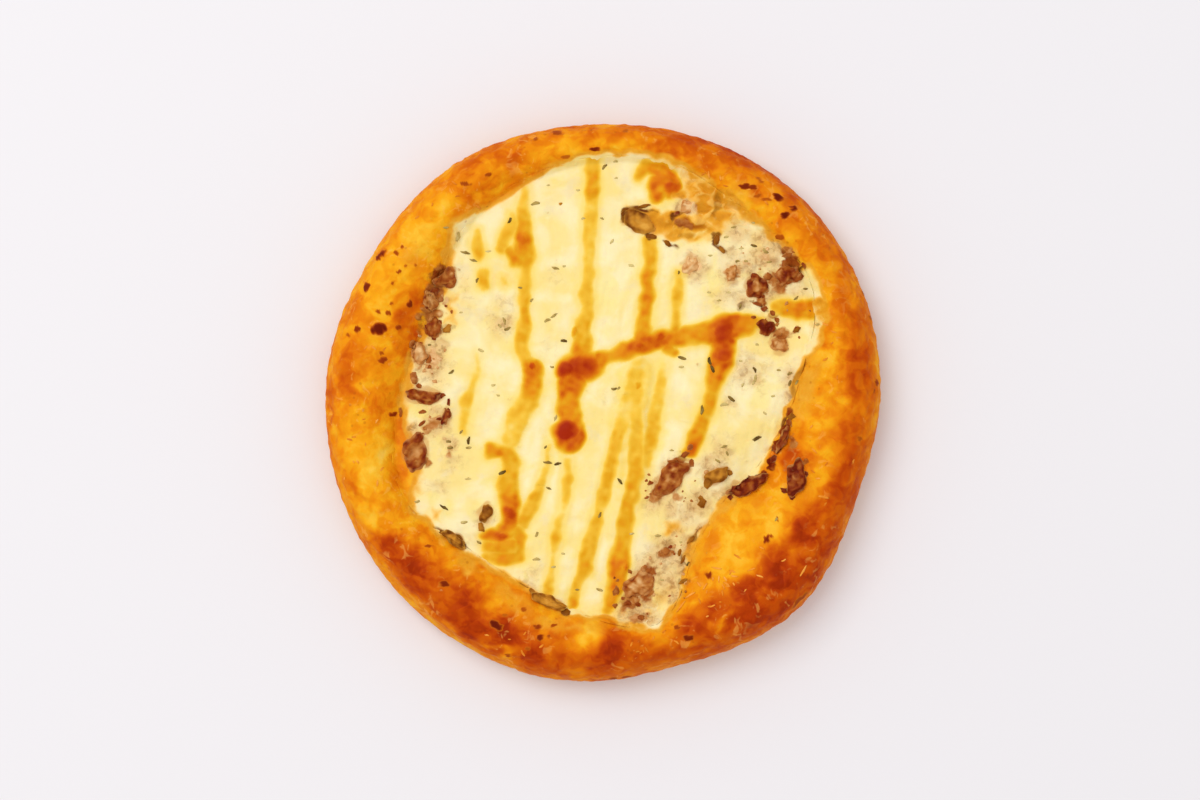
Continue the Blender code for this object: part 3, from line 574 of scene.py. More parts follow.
def dough(place):
    """Dough's colour from its baking, in darker and paler patches of skin; the palest are partly painted
    glints.
    """
    scales = place.noise(9, 2, 0.5, 0.6).step(0.42, 0.58) * 0.11
    scales = scales + place.noise(4.6, 2, 0.5, 0.7).step(0.4, 0.6) * 0.09
    level = place.attribute("baked") + scales + (place.noise(14, 3, 0.6, 0.6) - 0.5) * 0.18 - 0.1
    # The palest flaky patches of skin, partly painted glints.
    pale_flakes_and_glints = place.noise(4.8, 2, 0.6, 1.2).step(0.58, 0.66) * place.noise(16, 1, 0.5).step(0.4, 0.6)
    return (pale_flakes_and_glints * 0.3).mix(level.ramp(BREAD_STOPS), PALE_FLAKE_AND_GLINT)


def melted(place):
    """Melted cheese's colour: cloudy cream, and gold where it baked."""
    cream = place.noise(14, 3, 0.5, 0.4).step(0.34, 0.66).mix(CREAM, PALE_CREAM)
    cream = (place.noise(9, 3, 0.6).step(0.54, 0.7) * 0.45).mix(cream, GREY_CREAM)
    cream = (place.noise(12, 2, 0.5, 0.5).step(0.58, 0.72) * 0.4).mix(cream, BUTTER)
    gilt = place.attribute("gilt")
    patchy = (place.noise(3.4, 3, 0.6, 0.7) - 0.5) * 0.36
    shown = (gilt + patchy * gilt.step(0.02, 0.3)).step(0.1, 0.75)
    return shown.mix(cream, (gilt * 0.7 + patchy).ramp(GOLD_STOPS))


def fleshed(place, colour):
    """The colour with minced meat over it where its mass shows, pale on some knobs and dark on others."""
    flesh = (place.attribute("flesh") + (place.noise(3.0, 4, 0.65, 0.5) - 0.5) * 0.8).ramp(FLESH_STOPS)
    mass = place.attribute("mass")
    shown = mass + (place.noise(1.6, 3, 0.6) - 0.5) * mass.step(0.02, 0.3)
    return shown.step(0.15, 0.85).mix(colour, flesh)


def film_of(radius, angle, x, y):
    """How much of the cheese's film covers each point, and how golden it baked there."""
    at, reach, width, uneven = np.array(FILM).T
    inside = np.interp(angle, at, reach, period=360) - radius
    wander = waves(x, y, 8, 43) + 0.2 * waves(x, y, 3, 47)
    inside = inside + np.interp(angle, at, uneven, period=360) * wander
    moved_x, moved_y = nudged(x, y, 0.8)
    gilt = 0.8 * soft(1.0, 0.15, inside / np.interp(angle, at, width, period=360))
    gilt = np.maximum(np.maximum(gilt, 0.26 * soft(7.0, 1.0, inside)), strongest(moved_x, moved_y, GILDED))
    return np.maximum(soft(-1.5, 1.1, inside), strongest(moved_x, moved_y, GLAZED)), gilt


def bread_rings(angle):
    """Radius and height of the bread's rings: up the bank, a quarter ellipse out to the widest line and one
    back in to the base; and how much of the relief each ring takes."""
    foot, _, crest, outer = lines_of(angle)
    top, widest = bank(crest, angle), WIDEST + swell(angle, WIDEST_LOBES)
    rows = [(0.5 * foot, FLOOR + 0 * foot, 0.0)]
    for share in np.linspace(0, 1, BANK_RINGS):
        radius = foot + (crest - foot) * share
        rows.append((radius, bank(radius, angle), min(1.0, share * 6)))
    for turn in np.radians(np.linspace(0, 90, OVER_RINGS)[1:]):
        rows.append((crest + (outer - crest) * math.sin(turn), widest + (top - widest) * math.cos(turn), 1.0))
    for turn in np.radians(np.linspace(0, 90, UNDER_RINGS)[1:]):
        rows.append((outer - UNDER * (1 - math.cos(turn)), widest * (1 - math.sin(turn)), math.cos(turn)))
    rows.append((0.5 * (outer - UNDER), 0 * outer, 0.0))
    radius, height = np.stack([row[0] for row in rows]), np.stack([row[1] for row in rows])
    return radius, height, np.array([row[2] for row in rows])[:, None] + 0 * radius


def unrolled(radius, angle, height):
    """Where a point of the bread would lie, as (x, y), if the skin past the top of the rim lay flat: its
    drop below the top is added to its radius."""
    _, _, crest, outer = lines_of(angle)
    flat = np.where(height < WIDEST + swell(angle, WIDEST_LOBES), 2 * outer - radius, radius)
    flat = flat + np.where(radius > crest, np.maximum(bank(crest, angle) - height, 0), 0)
    return flat * np.cos(np.radians(angle)), flat * np.sin(np.radians(angle))


def wrinkled(x, y):
    """Low relief at each point of the unrolled skin: two sizes of noise, and furrows where a third is 0."""
    return 0.12 * waves(x, y, 9, 11) + 0.08 * waves(x, y, 4.2, 12) - 0.14 * np.abs(waves(x, y, 7, 14)) + 0.06


def browned(radius, angle, x, y, flat_x, flat_y):
    """How far the bread is baked: golden by the cheese, browner past a wandering line, then paler."""
    outer = lines_of(angle)[3]
    past = radius - around(angle, TURNS_BROWN, 1.5) + 1.0 * waves(flat_x, flat_y, 13, 3)
    past = past + 0.5 * waves(flat_x, flat_y, 5, 5)
    inside, ring = around(angle, BROWN_INSIDE, 2.0), around(angle, BROWN_RING, 2.0)
    level = inside + (ring - inside) * (0.45 * soft(-7.5, 1, past) + 0.55 * soft(-2.5, 4.5, past))
    level = level + (around(angle, BROWN_OUTSIDE) - level) * soft(-6.5, 0.5, radius - outer)
    moved_x, moved_y = x + waves(x, y, 8, 31), y + waves(x, y, 8, 32)
    for *place, amount in BROWN_PATCHES:
        level = level + amount * np.exp(-(oval(moved_x, moved_y, *place) ** 2))
    return level + 0.03 * waves(flat_x, flat_y, 14, 4)


def minced(x, y):
    """How much minced meat shows at each point, how pale it is there, and how far its knobs stand up."""
    mass, weight, paleness = np.zeros_like(x), np.full_like(x, 1e-6), np.full_like(x, 5e-7)
    for *place, amount, tone in CLUMPED:
        here = amount * np.exp(-(oval(x, y, *place) ** 2))
        mass = np.maximum(mass, here)
        weight, paleness = weight + here**3, paleness + tone * here**3
    knobs = 0.7 * waves(x, y, 4.2, 61) + 0.5 * waves(x, y, 2.3, 62)
    shown = soft(0.2, 0.8, mass + 0.15 * knobs)
    return shown, paleness / weight + 0.08 * knobs, shown * (0.35 + 0.3 * knobs)


# The rings, and how far the bread is baked on them: browned on top, paler on the side wall and brown at the
# base.
turn_round = np.arange(BREAD_COLUMNS) * 360 / BREAD_COLUMNS
ring_radius, ring_height, ring_lift = bread_rings(turn_round)
ring_angle = turn_round + 0 * ring_radius
ring_x = ring_radius * np.cos(np.radians(turn_round))
ring_y = ring_radius * np.sin(np.radians(turn_round))
past_crest = (np.arange(len(ring_radius)) > BANK_RINGS)[:, None]
upper = (ring_height > UPPER_FROM) | ~past_crest
side = soft(*SIDE_BAND, ring_height) * past_crest
flat_x, flat_y = unrolled(ring_radius, ring_angle, ring_height)
baked = browned(ring_radius, ring_angle, ring_x, ring_y, flat_x, flat_y) * (1 - side)
baked = baked + side * (0.42 + 0.05 * waves(flat_x, flat_y, 9, 6))
baked = baked + soft(*BASE_BAND, ring_height) * past_crest * (0.42 + 0.1 * waves(flat_x, flat_y, 7, 8))
# Wrinkles, creases and dark bits, raised along the normal of a skin that lies just inside the solid.
relief = wrinkled(flat_x, flat_y) * soft(*RELIEF_BAND, ring_height)
for depth, knots in CREASES:
    near = np.exp(-(np.maximum(beside(ring_x, ring_y, knots)[0] + 0.8, 0) ** 2)) * upper
    relief = relief - depth * near
    baked = baked - 0.05 * near
speck, spots_show = np.zeros_like(ring_x), soft(*SPOT_BAND, ring_height)
ragged_x = ring_x + 0.35 * waves(ring_x, ring_y, 2.4, 13)
for *place, strength in SPOTS:
    speck = np.maximum(speck, strength * soft(1.3, 0.7, oval(ragged_x, ring_y, *place)) * spots_show)
relief = np.minimum(relief + 0.5 * speck, HIGHEST_RELIEF) - SKIN_SINK
film, film_gilt = film_of(ring_radius, ring_angle, ring_x, ring_y)
mass, flesh_tone, knob = minced(ring_x, ring_y)
relief = relief + knob * upper
ring_points = np.stack((ring_x, ring_y, ring_height), axis=-1)
crust = skin("baked_crust", grown(ring_points, relief * ring_lift), (0, 0, FLOOR), (0, 0, 0),
             {"baked": baked, "speck": speck, "film": film * upper, "gilt": film_gilt,
              "mass": mass * upper, "flesh": flesh_tone})
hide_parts("crust")

crust_finish, place, shader = started("baked_bread")
skin_colour = place.attribute("film").step(0.05, 0.95).mix(dough(place), melted(place))
dots = place.node("ShaderNodeTexVoronoi", {"feature": "F1"},
                  {"Vector": place, "Scale": 1 / (BLISTER_SPACING * MM)})
dot = (1 - dots.step(0.1, 0.22)) * place.noise(15, 1, 0.5).step(0.5, 0.64)
skin_colour = (dot * 0.3).mix(skin_colour, BLISTER)
skin_colour = fleshed(place, skin_colour)
spotted = place.attribute("speck")
skin_colour = spotted.step(0.0, 0.45).mix(skin_colour, spotted.ramp(SPOT_STOPS))
uneven = place.noise(1.8, 3, 0.55) * 0.7 + place.noise(4.5, 2, 0.5, 0.8) * 1.2
coated(shader, place, skin_colour, 0.46 + place.noise(3, 2, 0.5) * 0.25, uneven, 0.35,
       {"Specular IOR Level": 0.045, "Subsurface Weight": 0.05, "Subsurface Radius": (0.004, 0.0015, 0.0006)})
crust.data.materials.append(crust_finish)

# ---------------------------------------------------------------- cheese
# Pale melted cheese poured into the well: level in the middle and thin where it runs up the bank, with
# lines of sauce piped across it that browned in the oven, and oil and meat showing through in places.

CHEESE_LEVEL = 16.6
GAP = 0.3  # between the solids of bread and cheese
# Points round each ring; rings of the top, as shares of the way to the edge, (first, last, count).
CHEESE_COLUMNS = 800
MIDDLE_RINGS = (0.012, 0.9, 86)
BORDER_RINGS = (0.908, 1.0, 20)
# The border: how deep its edge lies in the bread, how far it climbs from there and over what width, and
# where the edge turns down to the underside, as a step inwards and one down.
BORDER_SINK = 0.95
BORDER_CLIMB = 1.95
BORDER_WIDTH = 8.0
EDGE_TURN = (0.2, 1.4)
# Piped lines: (x, y, half width, tone), where tone is how dark each baked, 0.2 pale gold to 1 dark brown.
STRIPES = (
    ((-3.4, 85.6, 2.2, 0.38), (-3.2, 75, 2.6, 0.5), (-4, 70, 2.1, 0.32), (-4, 64, 2.2, 0.36),
     (-4.6, 57, 2.2, 0.32), (-4.5, 50, 2.1, 0.3), (-4.8, 44, 2.0, 0.38), (-5.8, 38.5, 2.4, 0.34),
     (-4.8, 33, 2.2, 0.34), (-6.6, 28.5, 3.2, 0.42), (-7, 22, 3.0, 0.44), (-7.5, 17, 3.4, 0.6)),
    ((-27, 78, 1.2, 0.24), (-27.4, 70, 2.0, 0.34), (-27.9, 64, 2.6, 0.44), (-27.5, 57.5, 3.6, 0.62),
     (-26.5, 51, 2.8, 0.46), (-27, 46, 2.2, 0.38), (-27.2, 41, 2.4, 0.34), (-27, 35, 2.0, 0.46),
     (-27.2, 31.5, 2.0, 0.52), (-27.6, 26, 2.4, 0.44), (-28.4, 20, 2.6, 0.4), (-27, 15.5, 2.2, 0.34),
     (-24.4, 12.5, 2.8, 0.68), (-24, 7, 3.2, 0.56), (-26, 0.5, 3.6, 0.4), (-29, -4, 3.6, 0.36),
     (-31, -9, 3.4, 0.28), (-32, -13, 3.2, 0.3)),
    ((-31.2, 66, 1.2, 0.3), (-32, 62, 2.0, 0.4), (-34.2, 57.5, 1.6, 0.42), (-35.6, 54, 1.6, 0.46)),
    ((-33, 53.5, 1.6, 0.5), (-30.5, 50.5, 2.2, 0.56), (-27, 49, 1.6, 0.42)),
    ((-44.2, 60, 1.8, 0.28), (-44, 56, 2.2, 0.38), (-43.2, 52.5, 1.9, 0.44)),
    ((-41.7, 45.5, 1.9, 0.42), (-41.6, 41.8, 2.0, 0.46)),
    ((-34.4, 44, 1.4, 0.3), (-34.2, 42, 1.3, 0.32)),
    ((-43.4, 18, 1.0, 0.2), (-44.2, 11, 1.3, 0.28), (-45.6, 6, 1.5, 0.28), (-47.8, 1, 2.3, 0.42),
     (-48.4, -5, 1.6, 0.34), (-48.8, -9.5, 1.3, 0.38)),
    ((16.6, 57, 2.3, 0.4), (17.2, 51, 2.2, 0.42), (16.4, 45, 2.2, 0.55), (16, 38, 2.3, 0.54),
     (15, 31, 2.3, 0.5), (14.6, 26, 2.6, 0.48), (14, 21.5, 2.8, 0.7)),
    ((27, 46, 1.3, 0.32), (26.6, 40, 1.6, 0.42), (26.3, 33, 1.6, 0.36), (26, 28, 1.7, 0.42),
     (25, 23, 2.2, 0.6)),
    ((13, 12, 4.8, 0.24), (10.4, -4, 6.0, 0.24), (10, -24, 6.0, 0.2), (6, -44, 4.4, 0.16)),
    ((12.4, 14, 3.0, 0.26), (12, 9, 3.6, 0.32), (11, 3, 4.0, 0.32), (9.5, -2, 3.8, 0.26),
     (7, -7, 3.0, 0.28), (5.7, -10.7, 2.2, 0.4), (4.4, -17, 2.0, 0.4), (2.6, -25, 2.2, 0.42),
     (0.6, -32, 2.0, 0.4), (-1, -39, 1.6, 0.36), (-3, -45, 2.2, 0.4), (-5, -52, 2.4, 0.42),
     (-6.2, -57.5, 2.6, 0.46), (-8, -62, 2.1, 0.4), (-9.6, -66, 1.8, 0.4), (-10, -70.5, 1.6, 0.52)),
    ((12, 0, 2.6, 0.24), (12.2, -8, 2.4, 0.36), (12.4, -13, 2.8, 0.36), (11.8, -20, 2.9, 0.4),
     (11.5, -26, 2.9, 0.46), (10.5, -32, 2.7, 0.46), (8.8, -38, 3.0, 0.46), (8, -43, 2.7, 0.42),
     (7.4, -48, 2.6, 0.42), (6.6, -53, 3.1, 0.56), (5.8, -58, 3.3, 0.62), (5.4, -62, 2.9, 0.58),
     (3.6, -68, 2.6, 0.52), (2.2, -72.5, 1.9, 0.48)),
    ((21.4, 13, 1.7, 0.22), (20.9, 8, 1.9, 0.34), (20, 3, 1.9, 0.3), (18.6, -2.3, 2.2, 0.36),
     (18.2, -8, 2.3, 0.4), (16.8, -14, 2.4, 0.4), (15, -21, 2.2, 0.32)),
    ((-1, 15, 2.6, 0.62), (2.5, 16.4, 2.1, 0.52), (6, 17.4, 2.3, 0.54), (10, 19, 2.8, 0.66),
     (15, 21, 3.2, 0.72), (20.5, 22.3, 3.0, 0.7), (25, 23, 3.0, 0.6), (30, 24, 3.1, 0.5),
     (35, 24.6, 3.5, 0.52), (40, 25, 4.2, 0.72), (44, 26.6, 4.8, 0.82), (48, 27.2, 4.0, 0.66),
     (52, 28, 3.2, 0.52), (55, 28.4, 2.2, 0.4)),
    ((23, 19.6, 1.8, 0.58), (25.5, 18, 1.4, 0.6)),
    ((42.5, 24, 4.2, 0.8), (42.4, 19, 3.6, 0.74), (42, 15, 3.8, 0.72), (40.4, 11, 3.0, 0.66),
     (39, 7, 2.7, 0.5), (38, 1, 2.5, 0.48), (36, -5, 2.6, 0.48), (34.2, -9, 2.8, 0.5),
     (32.8, -13, 2.5, 0.58), (31, -17, 2.0, 0.72)),
    ((-9.6, 12, 4.6, 0.84), (-11, 7, 4.0, 0.7), (-12, 1, 3.8, 0.58), (-11, -5, 3.6, 0.54),
     (-11.3, -11.4, 5.6, 0.74)),
    ((-18.5, -15, 1.4, 0.26), (-20.5, -25, 1.6, 0.3), (-22, -30, 1.8, 0.38), (-23.5, -33.5, 2.2, 0.44),
     (-26, -38, 2.4, 0.42), (-28, -42, 2.4, 0.4)),
    ((-11.8, -20, 1.4, 0.3), (-12, -27, 1.6, 0.42), (-12.5, -32, 1.5, 0.38), (-14, -38, 1.2, 0.26),
     (-16, -47, 2.0, 0.4), (-16.8, -53, 1.3, 0.24), (-18, -60, 1.4, 0.3), (-18.5, -65.5, 1.9, 0.42)),
    ((-39, -16.5, 2.3, 0.58), (-34, -16.8, 2.3, 0.5), (-31.8, -21, 3.2, 0.42), (-33, -28, 3.8, 0.42),
     (-32.5, -34, 3.0, 0.6), (-32, -38.5, 2.8, 0.78), (-32.6, -42.5, 2.6, 0.66), (-35, -46, 2.2, 0.66)),
    ((-41, -46.6, 1.5, 0.6), (-36, -46.6, 2.0, 0.72), (-31, -45, 2.6, 0.48), (-28.6, -48, 2.0, 0.48),
     (-28.8, -53.5, 2.0, 0.48), (-34, -54.5, 2.2, 0.5), (-40, -54, 1.9, 0.48)),
    ((-40, -50.3, 2.4, 0.46), (-32, -50.3, 2.6, 0.44)),
    ((13.3, 80, 1.7, 0.42), (16, 83, 2.2, 0.5), (21, 81.5, 3.8, 0.6), (24, 76.5, 4.0, 0.68),
     (19.5, 77, 3.4, 0.6), (19.6, 73.6, 2.6, 0.62)),
    ((61.5, 33.8, 2.0, 0.42), (64.5, 33.4, 2.8, 0.52), (69.5, 32.8, 3.4, 0.6), (76, 33.2, 3.0, 0.54)),
)
# Where the lines ran together and baked darkest: (x, y, half length, half width, turn, tone).
BLOBS = (
    (-12.4, 12, 3.6, 4.0, 0, 0.96), (-7.6, 12.8, 8.2, 5.2, 8, 0.88), (-12.6, -9.8, 5.2, 4.2, 15, 1.04),
    (-24.4, 12.8, 1.4, 1.8, 0, 0.86), (42.8, 25.4, 4.8, 5.6, -25, 0.92), (42.8, 16.5, 3.4, 3.8, 0, 0.84),
    (24.2, 75.6, 3.2, 3.0, 0, 0.8), (19.5, 73.6, 2.4, 1.4, 20, 0.66), (-28.2, 57.4, 2.6, 3.0, 0, 0.68),
    (-28.8, 54.4, 3.6, 5.6, 0, 0.5), (-34.6, -50.4, 6.6, 3.6, 0, 0.5), (20.5, 23, 2.6, 2.0, 10, 0.8),
    (13.5, 20.6, 2.6, 1.6, 25, 0.76), (-31.8, -38.5, 1.8, 2.6, 0, 0.86), (-35, -46.4, 2.6, 1.4, 5, 0.8),
    (8.2, -57.6, 0.9, 1.8, 0, 0.72), (-3.2, 75, 2.4, 2.2, 0, 0.52), (70, 32.6, 2.2, 1.4, 0, 0.64),
    (12.8, 6.5, 1.2, 2.0, -10, 0.48), (-10, 25, 1.2, 2.2, 0, 0.5),
)
# Pieces that lie in the cheese: name, x, y, length, width, turn, height, bend, hollow, and tone at the
# rim and in the middle, 0 dark to 1 pale.
MEAT_PIECES = (
    ("meat_01", -55.2, 44.2, 9.6, 6.6, 42, 2.6, 0.45, 0.9, 0.22, 0.45),
    ("meat_02", -60.2, 36.0, 7.4, 5.4, 100, 2.0, 0.1, 0.0, 0.46, 0.66),
    ("meat_03", -58.8, 26.6, 7.6, 5.6, 78, 2.5, 0.0, 0.0, 0.3, 0.35),
    ("meat_04", -64.2, 17.4, 8.6, 6.0, 100, 2.0, 0.1, 0.3, 0.6, 0.85),
    ("meat_05", -62.6, 2.6, 13.6, 5.2, -4, 2.6, 0.1, 0.0, 0.12, 0.36),
    ("meat_06", -55.0, -4.6, 7.0, 3.2, 78, 2.0, 0.2, 0.0, 0.1, 0.4),
    ("meat_07", -65.6, -17.0, 13.4, 9.0, 78, 2.4, 0.0, 1.3, 0.2, 0.46),
    ("meat_08", 54.3, 41.2, 8.6, 8.0, 70, 3.0, 0.1, 0.4, 0.16, 0.55),
    ("meat_09", 64.9, 44.9, 9.6, 7.4, 20, 3.0, 0.1, 0.0, 0.3, 0.22),
    ("meat_10", 57.6, 26.8, 7.6, 6.4, -20, 2.8, 0.0, 0.0, 0.12, 0.05),
    ("meat_11", 62.4, 20.4, 6.6, 5.0, -35, 2.0, 0.0, 0.3, 0.5, 0.72),
    ("meat_12", 24.2, -26.4, 14.6, 8.6, 42, 3.0, -0.1, 0.5, 0.3, 0.42),
    ("meat_13", 51.4, -28.6, 14.6, 5.6, 24, 2.8, 0.15, 0.0, 0.04, 0.15),
    ("meat_14", 63.0, -13.0, 11.0, 3.4, 66, 1.8, 0.1, 0.0, 0.02, 0.1),
    ("meat_15", 67.8, -26.0, 13.4, 7.2, 76, 2.8, 0.0, 0.6, 0.04, 0.2),
    ("meat_16", 12.6, -63.6, 13.0, 8.8, 38, 2.4, 0.1, 0.4, 0.4, 0.68),
    ("meat_17", 30.9, 48.4, 7.6, 5.6, 70, 1.6, 0.0, 0.3, 0.88, 0.96),
    ("meat_18", 45.6, 45.6, 6.0, 4.6, 60, 1.9, 0.0, 0.0, 0.6, 0.74),
    ("meat_19", 30.0, 69.4, 7.0, 5.4, 30, 1.6, 0.0, 0.3, 0.7, 0.95),
)
MUSHROOM_PIECES = (
    ("mushroom_01", 12.9, 63.5, 11.6, 7.4, -32, 1.9, -0.1, 1.1, 0.15, 0.66),
    ("mushroom_02", 40.6, -25.2, 9.4, 5.4, 25, 1.8, 0.1, 0.3, 0.3, 0.5),
    ("mushroom_03", -18.8, -69.4, 13.6, 4.2, -22, 1.7, 0.05, 0.0, 0.3, 0.85),
    ("mushroom_04", -52.0, -47.6, 10.6, 3.8, -34, 1.6, 0.1, 0.0, 0.15, 0.5),
    ("mushroom_05", -41.0, -38.6, 7.4, 4.4, 75, 1.6, 0.1, 0.3, 0.1, 0.3),
)
# Raised ring-like folds in the golden zone: (x, y, half length, half width, turn, height).
FOLD_WIDTH = 0.9
FOLDS = (
    (35.6, 68.4, 4.0, 4.4, 0, 0.9), (41, 73.6, 2.4, 4.2, -10, 0.8), (36.4, 75, 2.4, 3.4, 10, 0.6),
    (46.5, 69.5, 4.0, 2.6, -25, 0.6), (31, 78, 3.4, 2.6, -40, 0.5), (24.5, 81.5, 4.4, 2.6, -35, 0.4),
    (47.5, 64.6, 3.4, 1.8, -30, 0.5), (21, 66.8, 4.0, 2.0, 10, 0.4), (45.5, 78, 3.2, 2.2, -30, 0.5),
    (53, 69.5, 3.4, 1.8, -40, 0.5), (27, 61, 3.4, 1.8, 10, 0.5), (38, 61.4, 3.0, 1.8, 20, 0.5),
    (10, -71, 3.4, 2.4, 10, 0.5), (14.5, -77.5, 2.6, 2.0, 0, 0.4), (17, -70.5, 2.2, 3.2, -10, 0.4),
)
# Where minced meat or oil lies just under the cheese: (x, y, half length, half width, turn, amount).
UNDER_CHEESE = (
    (-35, 28, 5, 4, 0, 0.62), (-34, 36, 7, 4, 0, 0.26), (-60, 15, 6, 9, 5, 0.6), (-57, 19, 3, 4, 0, 0.7),
    (-58, -8, 5, 4, 30, 0.66), (-59, -3, 4, 2, 30, 0.6), (-53, -14, 3, 4, 0, 0.5),
    (-66.5, -9, 2.4, 3.4, 0, 0.85), (-53, -20, 4, 4, 0, 0.36), (-57, -29, 4, 3, 0, 0.3),
    (-41, -42, 4, 4, 0, 0.5), (-43, -47, 4, 3, 0, 0.34), (-24, -60, 4, 4, 0, 0.28),
    (-26, -65, 5, 2.6, -25, 0.5), (-48, 40, 3, 8, 0, 0.24), (-17, 44, 4, 4, 0, 0.14),
    (33, 48, 5, 6, 0, 0.55), (45, 45, 4, 5, 0, 0.5), (50, 48, 6, 5, 0, 0.5), (57, 51, 7, 5, 10, 0.6),
    (62, 55, 5, 4, 0, 0.62), (44, 38, 8, 4, 0, 0.36), (50, 36, 4, 3, 0, 0.5), (60, 38, 6, 4, 0, 0.6),
    (68, 38, 4, 4, 0, 0.34), (47, 60, 6, 5, 0, 0.42), (56, 58, 5, 3, 0, 0.5), (50, 12, 9, 7, 0, 0.38),
    (54, 8, 4, 4, 0, 0.5), (66, 10, 3, 5, 0, 0.5), (45, 0, 5, 3, -20, 0.36), (66, 3, 2.4, 7, -20, 0.46),
    (29, 70, 4.5, 4.5, 0, 0.5), (42, -17, 5, 5, 0, 0.46), (38, -21, 6, 4, 30, 0.46),
    (34, -35, 5, 5, 0, 0.6), (20, -32, 8, 5, 40, 0.62), (24, -37, 3, 4, 0, 0.5), (25, -22, 5, 3, 30, 0.56),
    (43, -32, 4, 3, 30, 0.5), (30, -39, 5, 5, 0, 0.42), (22, -52, 6, 5, 30, 0.72), (27, -55, 4, 5, 0, 0.56),
    (17, -58, 7, 6, 30, 0.66), (10, -70, 9, 5, 10, 0.74), (13, -75, 7, 3, 0, 0.7), (23, -63, 5, 8, 0, 0.56),
    (27, -46, 4, 3, -40, 0.5), (62, -18, 4, 4, 0, 0.5), (2, 1, 5, 5, 0, 0.12), (35, -44, 4, 2, 42, 0.85),
    (30, -50, 1.8, 4, -20, 0.85), (27.6, -57.5, 1.8, 4, 5, 0.8), (25, -68, 2, 4, -30, 0.5),
    (45, 53, 5, 3.6, 0, 0.4), (8, -58, 1.4, 5, 0, 0.3), (-19, 20, 3, 6, 0, 0.14), (11, 49, 3, 6, 0, 0.1),
)
# Olive-brown lines where a fold or the cheese's border scorched, and along the border painted shade too,
# where the bread stands a little higher: (x, y, half width, strength).
SCORCH_AND_SHADE_LINES = (
    ((-60, -43, 0.5, 0.5), (-57, -45, 0.9, 0.9), (-52.5, -48, 1.7, 1.0), (-48.7, -50, 1.2, 0.9),
     (-46.5, -53, 0.6, 0.4), (-45, -56, 0.4, 0.3)),
    ((-33, -61.8, 0.4, 0.6), (-27, -64.5, 0.6, 0.7), (-24, -67.5, 0.8, 0.6)),
    ((40.6, -39.2, 0.2, 0.3), (39, -40.6, 0.4, 0.6), (37.6, -42, 0.2, 0.4)),
    ((35, -44.6, 0.2, 0.4), (33.5, -45.8, 0.5, 0.6), (31.6, -48, 0.9, 0.55), (30.4, -50, 0.3, 0.3)),
    ((28.4, -53.4, 0.3, 0.4), (28.6, -55, 0.6, 0.6), (30, -56.8, 0.3, 0.6)),
    ((29.4, -61, 0.2, 0.3), (28.2, -62.5, 0.9, 0.5), (27, -65.4, 0.4, 0.35)),
    ((-10.5, -75, 0.4, 0.35), (0, -75.5, 0.4, 0.35), (4, -77.5, 0.6, 0.35), (8, -79.4, 0.5, 0.4),
     (20, -80, 0.5, 0.5)),
    ((71.5, 15, 0.6, 0.4), (68.5, 9, 0.8, 0.45), (67, 4, 0.6, 0.45), (65.8, 0, 0.5, 0.4)),
    ((67, -3.5, 1.0, 0.6), (65.5, -6, 1.3, 0.7), (64.5, -8.5, 1.4, 0.7)),
    ((53, 65.2, 0.5, 0.4), (57.5, 64.8, 0.6, 0.5), (60, 62, 0.5, 0.3)),
    ((-28, 76, 0.4, 0.25), (-22, 80.5, 0.4, 0.3), (-17, 83, 0.4, 0.25)),
    ((38, 79, 0.9, 0.5), (40, 77.5, 1.2, 0.5)),
    ((40, 73, 0.6, 0.4), (41, 69, 1.1, 0.5), (40, 66, 0.8, 0.45)),
    ((33, 66.5, 0.6, 0.35), (36, 67.8, 0.5, 0.35), (38.5, 66.5, 0.4, 0.3)),
    ((28, 59, 0.8, 0.4), (33, 59.5, 0.6, 0.35)),
    ((8, 66.4, 1.0, 1.0), (9.2, 64.6, 0.7, 0.95), (11, 62.6, 0.7, 1.0), (13.5, 60.3, 0.5, 0.95),
     (16.5, 58.8, 0.5, 0.9), (18.2, 58.2, 0.3, 0.5)),
    ((20.6, 57.4, 0.4, 0.7), (22.4, 56.4, 0.6, 0.9), (24.4, 55.2, 0.5, 0.85), (27, 54.6, 0.2, 0.5)),
    ((7.4, 67.2, 0.7, 1.0), (10, 68.0, 0.5, 0.9), (13.4, 68.9, 0.6, 0.9), (16, 68.7, 0.6, 0.85),
     (18.4, 67.2, 0.4, 0.5)),
    ((24.6, 65, 0.6, 0.75), (26.6, 66.4, 0.7, 0.8), (28, 67.2, 0.4, 0.5)),
    ((26.6, 68.4, 0.3, 0.45), (27.2, 71, 0.3, 0.4), (27.8, 72.4, 0.2, 0.3)),
    ((29, 82.6, 0.3, 0.3), (33.5, 80.4, 0.6, 0.7), (36, 79.4, 0.4, 0.45), (38.5, 77.8, 0.7, 0.5),
     (40.5, 76, 0.4, 0.35)),
    ((40.2, 59.3, 0.9, 0.7), (40.4, 56.5, 0.9, 0.8), (41.5, 54.5, 0.9, 0.8), (43.3, 53, 0.6, 0.6)),
    ((65, 53.5, 1.6, 0.5), (67.5, 51, 1.0, 0.5), (70.5, 48.5, 0.9, 0.7), (69.5, 45, 0.7, 0.5)),
    ((51.5, 35.3, 0.3, 0.5), (54.5, 35, 0.6, 0.8), (56.5, 33.5, 0.6, 0.75), (57.6, 32.5, 0.4, 0.6)),
    ((48, 33, 0.3, 0.5), (49.2, 35.5, 0.4, 0.6)),
    ((-23.5, -29, 0.4, 0.3), (-20, -28.8, 0.4, 0.35)),
    ((-55.5, 26, 1.2, 0.4), (-53.5, 26.6, 1.2, 0.4)),
)


def pool(x, y):
    """Height of the cheese's middle: level, with a broad and a narrower product of two sines."""
    level = CHEESE_LEVEL + 0.35 * np.sin(0.16 * x + 0.06 * y) * np.sin(0.13 * y - 0.05 * x + 0.7)
    return level + 0.2 * np.sin(0.34 * x + 1.2) * np.sin(0.27 * y + 0.4)


